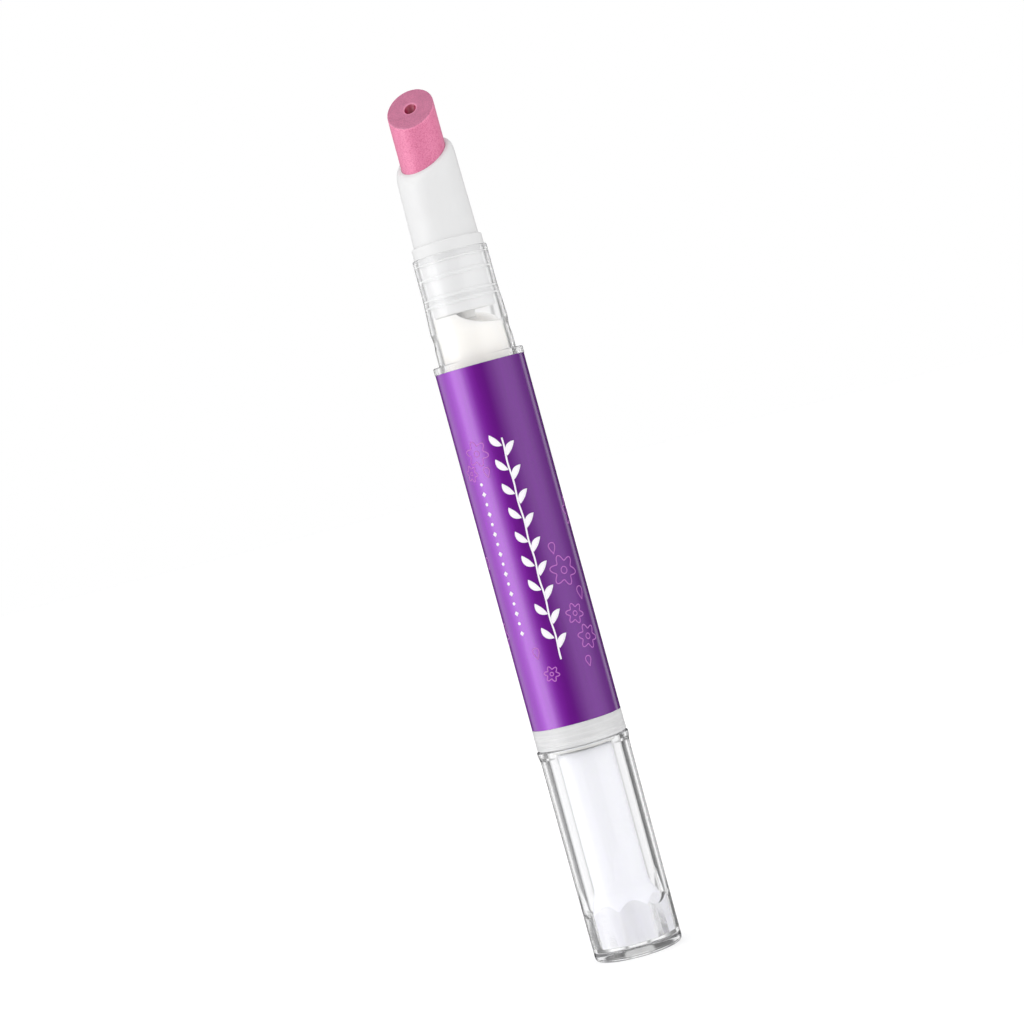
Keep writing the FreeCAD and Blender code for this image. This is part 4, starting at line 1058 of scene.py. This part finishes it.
class PEN_OT_print(bpy.types.Operator):
    """Prints a leaf sprig, dots, florets and drops on the film"""
    bl_idname = "nail_pen.print"
    bl_label = "Print"

    def execute(self, context):
        size, pen = context.scene.nail_pen.ink, context.scene.nail_pen
        radius = pen.barrel.outside + pen.film.thickness
        front = (pen.stage.camera_azimuth - QUARTER_TURN) * radius
        foot = node_foot("label_sleeve")
        white = ink_finish("white_ink", size.white_ink)
        violet = ink_finish("violet_ink", size.violet_ink)

        def at(arc, height):
            """Places on the unrolled film, millimetres right of the front and above its foot."""
            arc, height = np.asarray(arc) * MM, np.asarray(height) * MM
            return np.stack(np.broadcast_arrays(front + arc, foot + height), axis=-1)

        def ink(name, paths, widths, finish, closed=False):
            """Prints ribbons on the film."""
            piece = ribbon_piece(
                name, paths, widths, radius, size.ink_height, size.ink_foot, finish, closed,
            )
            seat_piece(piece, "barrel_body", "label_film")

        # A sprig runs up the front: leaves to the right and, a little higher, to the left of a
        # gently waving stem. A leaf is as wide as a sine, made fuller.
        right = leaf_paths(at(0.32, LEAF_RISES), QUARTER_TURN - size.leaf_turn, size.leaf_length)
        left = leaf_paths(
            at(0.02, LEAF_RISES + 1.3), QUARTER_TURN + size.leaf_turn, size.leaf_length,
        )
        bulge = np.sin(math.pi * np.linspace(0, 1, LEAF_STEPS)) ** 0.8
        ink("leaf_print", np.vstack([right, left]), size.leaf_width * bulge, white)
        stem = at(0.17 + 0.06 * np.sin(STEM_RISES * 1.35), STEM_RISES)
        ink("stem_print", stem[None], size.stem_width, white)

        # Lozenges and dots stand in turn in a column left of the sprig. Each is an upright ribbon,
        # as wide at each share of its height as a lozenge or a circle is.
        steps = np.arange(DOT_COUNT)
        pointed = steps % 2 == 0
        height = np.where(pointed, size.lozenge, size.dot)
        spans = np.linspace(-0.5, 0.5, DOT_STEPS)
        upright = spans[None, :, None] * height[:, None, None] * np.array([0.0, 1.0])
        lozenge = 1 - np.abs(2 * spans)
        circle = np.sqrt(np.clip(1 - (2 * spans) ** 2, 0, 1))
        widths = np.where(pointed[:, None], lozenge, circle) * height[:, None]
        ink("dot_print", at(-3.8, 11.7 + steps * 1.2)[:, None] + upright, widths, white)

        # Florets with a ring in the middle, and drops, in fine lines, in front and round the back.
        # A drop is a circle made higher, whose width is drawn in to a point at its foot.
        centres, reach = at(FLORETS[:, 0], FLORETS[:, 1]), FLORETS[:, 2] * MM
        petals = ring_paths(centres, reach, 97, wobble=0.24, petals=6, turn=0.3)
        ink("floret_print", petals, size.petal_line, violet, True)
        ink("ring_print", ring_paths(centres, reach * 0.28, 25), size.fine_line, violet, True)
        a = np.linspace(0.0, FULL_TURN, 41)
        drop = np.stack([np.sin(a) * np.sin(a / 2) ** 1.6, -np.cos(a) * 1.15], axis=-1)
        drops = at(DROPS[:, 0], DROPS[:, 1])[:, None] + drop * DROPS[:, 2, None, None] * MM
        ink("drop_print", drops, size.fine_line, violet)
        return {"FINISHED"}


class PEN_OT_holder(bpy.types.Operator):
    """Builds the white nib holder, with its ribbed plug and slanted, rounded mouth"""
    bl_idname = "nail_pen.holder"
    bl_label = "Nib holder"

    def execute(self, context):
        size, nib = context.scene.nail_pen.holder, context.scene.nail_pen.nib
        plug_foot = node_foot("nib_holder")
        neck_top = node_top("barrel")
        flange_top = neck_top + size.flange_height
        mouth = flange_top + size.mouth_height
        seat = node_foot("porous_nib")
        rib = context.scene.nail_pen.barrel.bore + size.rib_press
        # The fourth number is 1 where a corner follows the mouth's slant.
        corners = [
            (nib.tube_radius, plug_foot, size.edge_round, 0),
            (size.plug_radius, plug_foot, size.plug_round, 0),
        ]
        for rise, share in PLUG_RIBS:
            level, half = plug_foot + rise * MM, size.rib_height * share / 2
            corners += [
                (size.plug_radius, level - half, size.rib_foot_round, 0),
                (rib, level - half / 2, size.rib_round, 0),
                (rib, level + half / 2, size.rib_round, 0),
                (size.plug_radius, level + half, size.rib_foot_round, 0),
            ]
        corners += [
            (size.plug_radius, neck_top, size.edge_round, 0),
            (size.flange_radius, neck_top, size.flange_foot_round, 0),
            (size.flange_radius, flange_top, size.flange_round, 0),
            (size.foot_radius, flange_top, size.foot_round, 0),
        ]
        for width, drop in MOUTH_LIP:
            radius = size.top_radius - size.mouth_width * width
            corners += [(radius, mouth - size.mouth_drop * drop, size.mouth_round, 1)]
        corners += [
            (nib.seat_radius, mouth, size.edge_round, 1),
            (nib.seat_radius, seat, size.edge_round, 0),
            (nib.tube_radius, seat, size.edge_round, 0),
        ]
        radii, heights, lean = (column[:, None] for column in rounded_outline(corners).T)
        angles = column_angles()
        slant = lean * radii * math.tan(size.mouth_slant) * np.sin(angles)
        finish = satin_finish("white_holder_plastic", size.tint)
        piece = grid_piece("white_holder", turned_points(radii, heights + slant, angles), finish)
        seat_piece(piece, "barrel_body", "white_plastic", "nib_holder")
        return {"FINISHED"}


class PEN_OT_nib(bpy.types.Operator):
    """Builds the porous nib with its slanted face, outlet and grain"""
    bl_idname = "nail_pen.nib"
    bl_label = "Porous nib"

    def execute(self, context):
        size, holder = context.scene.nail_pen.nib, context.scene.nail_pen.holder
        foot, tube_top = node_foot("porous_nib"), node_top("feed_tube")
        mouth = node_top("barrel") + holder.flange_height + holder.mouth_height
        face = mouth + size.projection
        # The fourth number is 1 where a corner follows the face's slant.
        outline = rounded_outline([
            (size.tube_radius, foot, size.seat_round, 0),
            (size.radius, foot, size.seat_round, 0),
            (size.radius, mouth, 0, 0),
            (size.radius, face, size.edge_round, 1),
            (size.hole_radius, face, size.hole_round, 1),
            (size.hole_radius, tube_top, size.seat_round, 0),
            (size.tube_radius, tube_top, size.seat_round, 0),
        ])
        # Points that repeat go, and the long runs get more rows, so that the grain has points to
        # lift. A long run inside the holder stays as it is.
        fresh = np.append(True, np.hypot(*np.diff(outline[:, :2], axis=0).T) > 1e-9)
        outline = outline[fresh]
        runs = np.hypot(*np.diff(outline[:, :2], axis=0).T)
        parts = np.maximum(np.ceil(runs / GRAIN_STEP).astype(int), 1)
        parts = np.where((outline[:-1, 1] < mouth - GRAIN_START) & (runs > MM), 1, parts)
        ends = np.concatenate([[0], np.cumsum(parts)])
        steps = np.arange(ends[-1] + 1)
        radii, heights, lean = (np.interp(steps, ends, column)[:, None] for column in outline.T)
        angles = column_angles()
        high = size.turn + QUARTER_TURN
        heights = heights + lean * radii * math.tan(size.slant) * np.cos(angles - high)
        # Grain: seeded noise, softened once along and once round, lifts the wall and the face.
        noise = np.random.default_rng(5).normal(size=(len(steps), len(angles) - 1))
        noise = noise + 0.6 * (np.roll(noise, 1, 0) + np.roll(noise, 1, 1) + np.roll(noise, -1, 1))
        noise = np.hstack([noise, noise[:, :1]]) / 1.6
        shown = np.clip((heights - mouth + GRAIN_START) / MM, 0.0, 1.0)
        shown = shown * (radii > size.hole_radius * 1.05)
        lift = size.grain * 0.5 * np.clip(noise, -1.5, 1.5) * shown
        wall = np.clip((radii - size.radius * 0.97) / (size.radius * 0.03), 0.0, 1.0)
        radii = radii + (lift - size.grain) * wall
        heights = heights + lift * (1 - wall)
        points = turned_points(radii, heights, angles)
        points[-1] = points[0]
        slope = math.tan(size.slant)
        normal = Vector((-slope * math.cos(high), -slope * math.sin(high), 1.0)).normalized()
        finish = porous_finish("pink_porous_plastic", size, normal, face * normal.z)
        piece = grid_piece("pink_nib", points, finish)
        seat_piece(piece, "barrel_body", "porous_pink", "porous_nib")
        return {"FINISHED"}


class PEN_OT_inside(bpy.types.Operator):
    """Gives the frame's own inner pieces their finishes"""
    bl_idname = "nail_pen.inside"
    bl_label = "Inner pieces"

    def execute(self, context):
        for name, tint, roughness, grain_height, nodes in INNER_FINISHES:
            finish = moulded_finish(name, tint, roughness, grain_height)
            for node in nodes:
                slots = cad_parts[node].data.materials
                slots.clear()
                slots.append(finish)
        return {"FINISHED"}


class PEN_OT_stage(bpy.types.Operator):
    """Sets up the camera, the soft studio light and the pale floor"""
    bl_idname = "nail_pen.stage"
    bl_label = "Stage"

    def execute(self, context):
        size = context.scene.nail_pen.stage
        sine, cosine = math.sin(size.camera_azimuth), math.cos(size.camera_azimuth)
        away, right = Vector((-sine, cosine, 0)), Vector((cosine, sine, 0))
        self.camera(context.scene, size, away, right)
        self.floor(size)
        self.light(context.scene, away, right)
        context.scene.view_settings.view_transform = "Standard"
        context.scene.view_settings.look = "None"
        return {"FINISHED"}

    def camera(self, scene, size, away, right):
        """The camera, rolled so that the pen leans to the left."""
        target = size.target_height * UP - right * size.target_left
        eye = target - away * size.camera_distance + size.camera_rise * UP
        forward = (target - eye).normalized()
        level = forward.cross(UP).normalized()
        upright = level.cross(forward)
        cosine, sine = math.cos(size.camera_roll), math.sin(size.camera_roll)
        across = cosine * level - sine * upright
        up = sine * level + cosine * upright
        lens = bpy.data.cameras.new("photo_camera")
        lens.lens = size.lens
        lens.sensor_width = 36.0
        lens.clip_start = 1 * MM
        lens.clip_end = 20000 * MM
        camera = bpy.data.objects.new("photo_camera", lens)
        scene.collection.objects.link(camera)
        turn = Matrix((across, up, -forward)).transposed().to_4x4()
        camera.matrix_world = Matrix.Translation(eye) @ turn
        scene.camera = camera

    def floor(self, size):
        """The pale floor, which shiny and clear pieces don't see."""
        half, level = size.floor_size / 2, -size.floor_gap
        corners = [(-half, -half), (half, -half), (half, half), (-half, half)]
        square = np.array([(*corner, level) for corner in corners])
        bench = material_bench("pale_floor")
        cloud = bench.noise(300 * MM, 2.0)
        finish = bench.finish({
            "Base Color": bench.blend(cloud, tinted(size.floor_tint, 0.99), size.floor_tint),
            "Roughness": 0.9, "Specular IOR Level": 0.1,
            "Emission Color": (1.0, 1.0, 1.0, 1.0), "Emission Strength": 0.06,
        })
        floor = mesh_piece("floor", square, np.array([[0, 1, 2, 3]]), finish)
        floor.visible_glossy = False
        floor.visible_transmission = False

    def light(self, scene, away, right):
        """World light: even for matt pieces, and banded like a tent of soft boxes for the shiny
        and the clear ones."""
        world = bpy.data.worlds.new("soft_studio")
        scene.world = world
        bench = NodeBench(world)
        direction = bench.node("ShaderNodeTexCoord").outputs["Generated"]
        upward, rightward = bench.along(direction, UP), bench.along(direction, right)
        turn = bench.math("ARCTAN2", rightward, bench.along(direction, -away))
        share = bench.math("ADD", bench.math("DIVIDE", turn, FULL_TURN), 0.5)

        def bands(stops):
            """Brightness by the angle round the pen, from stops in degrees."""
            ramp = bench.node("ShaderNodeValToRGB", {"Fac": share})
            points = ramp.color_ramp.elements
            for index, (degrees, level) in enumerate(stops):
                where = degrees / 360 + 0.5
                point = points.new(where) if index > 1 else points[index]
                point.position = where
                point.color = (level, level, level, 1.0)
            return ramp.outputs["Color"]

        rays = bench.node("ShaderNodeLightPath").outputs
        even = bench.math("ADD", EVEN_LEVEL, bench.math("MULTIPLY", rightward, EVEN_RIGHTWARD))
        even = bench.math("ADD", even, bench.math("MULTIPLY", upward, EVEN_UPWARD))
        level = bench.blend(rays["Is Diffuse Ray"], (1.0, 1.0, 1.0), even)
        level = bench.blend(rays["Is Glossy Ray"], level, bands(SHINE_BANDS))
        lifted = bench.span(upward, *LIFTED_RISE, 0.0, 1.0)
        clear = bench.blend(lifted, bands(CLEAR_BANDS), bands(LIFTED_BANDS))
        clear = bench.blend(bench.hump(upward, LOW_RISE, LOW_FALL), clear, bands(LOW_BANDS))
        level = bench.blend(rays["Is Transmission Ray"], level, clear)
        back = bench.node("ShaderNodeBackground", {"Color": level, "Strength": 1.0})
        bench.node("ShaderNodeOutputWorld", {"Surface": back.outputs[0]})
        world.cycles.sampling_method = "NONE"


OPERATORS = (
    PEN_OT_stage, PEN_OT_knob, PEN_OT_core, PEN_OT_collar, PEN_OT_barrel, PEN_OT_oil, PEN_OT_film,
    PEN_OT_print, PEN_OT_holder, PEN_OT_nib, PEN_OT_inside,
)


class PEN_PT_panel(bpy.types.Panel):
    """Lists the pen's pieces and their settings"""
    bl_idname = "PEN_PT_panel"
    bl_label = "Nail oil pen"
    bl_space_type = "VIEW_3D"
    bl_region_type = "UI"
    bl_category = "Nail pen"

    def draw(self, context):
        settings = context.scene.nail_pen
        for operator in OPERATORS:
            self.layout.operator(operator.bl_idname)
        for entry in settings.bl_rna.properties:
            if entry.type != "POINTER" or entry.identifier == "rna_type":
                continue
            box = self.layout.box()
            box.label(text=entry.name)
            values = getattr(settings, entry.identifier)
            for value in values.bl_rna.properties:
                if value.identifier not in {"rna_type", "name"}:
                    box.prop(values, value.identifier)


CLASSES = (
    KnobSettings, CoreSettings, CollarSettings, BarrelSettings, FilmSettings, PrintSettings,
    OilSettings, HolderSettings, NibSettings, StageSettings, PenSettings, *OPERATORS, PEN_PT_panel,
)


def register():
    for item in CLASSES:
        bpy.utils.register_class(item)
    bpy.types.Scene.nail_pen = bpy.props.PointerProperty(type=PenSettings)


def unregister():
    del bpy.types.Scene.nail_pen
    for item in reversed(CLASSES):
        bpy.utils.unregister_class(item)


def main():
    """Registers the settings and builds the pen."""
    register()
    for operator in OPERATORS:
        group_name, name = operator.bl_idname.split(".")
        getattr(getattr(bpy.ops, group_name), name)()
    bpy.context.view_layer.update()


if __name__ == "__main__":
    main()
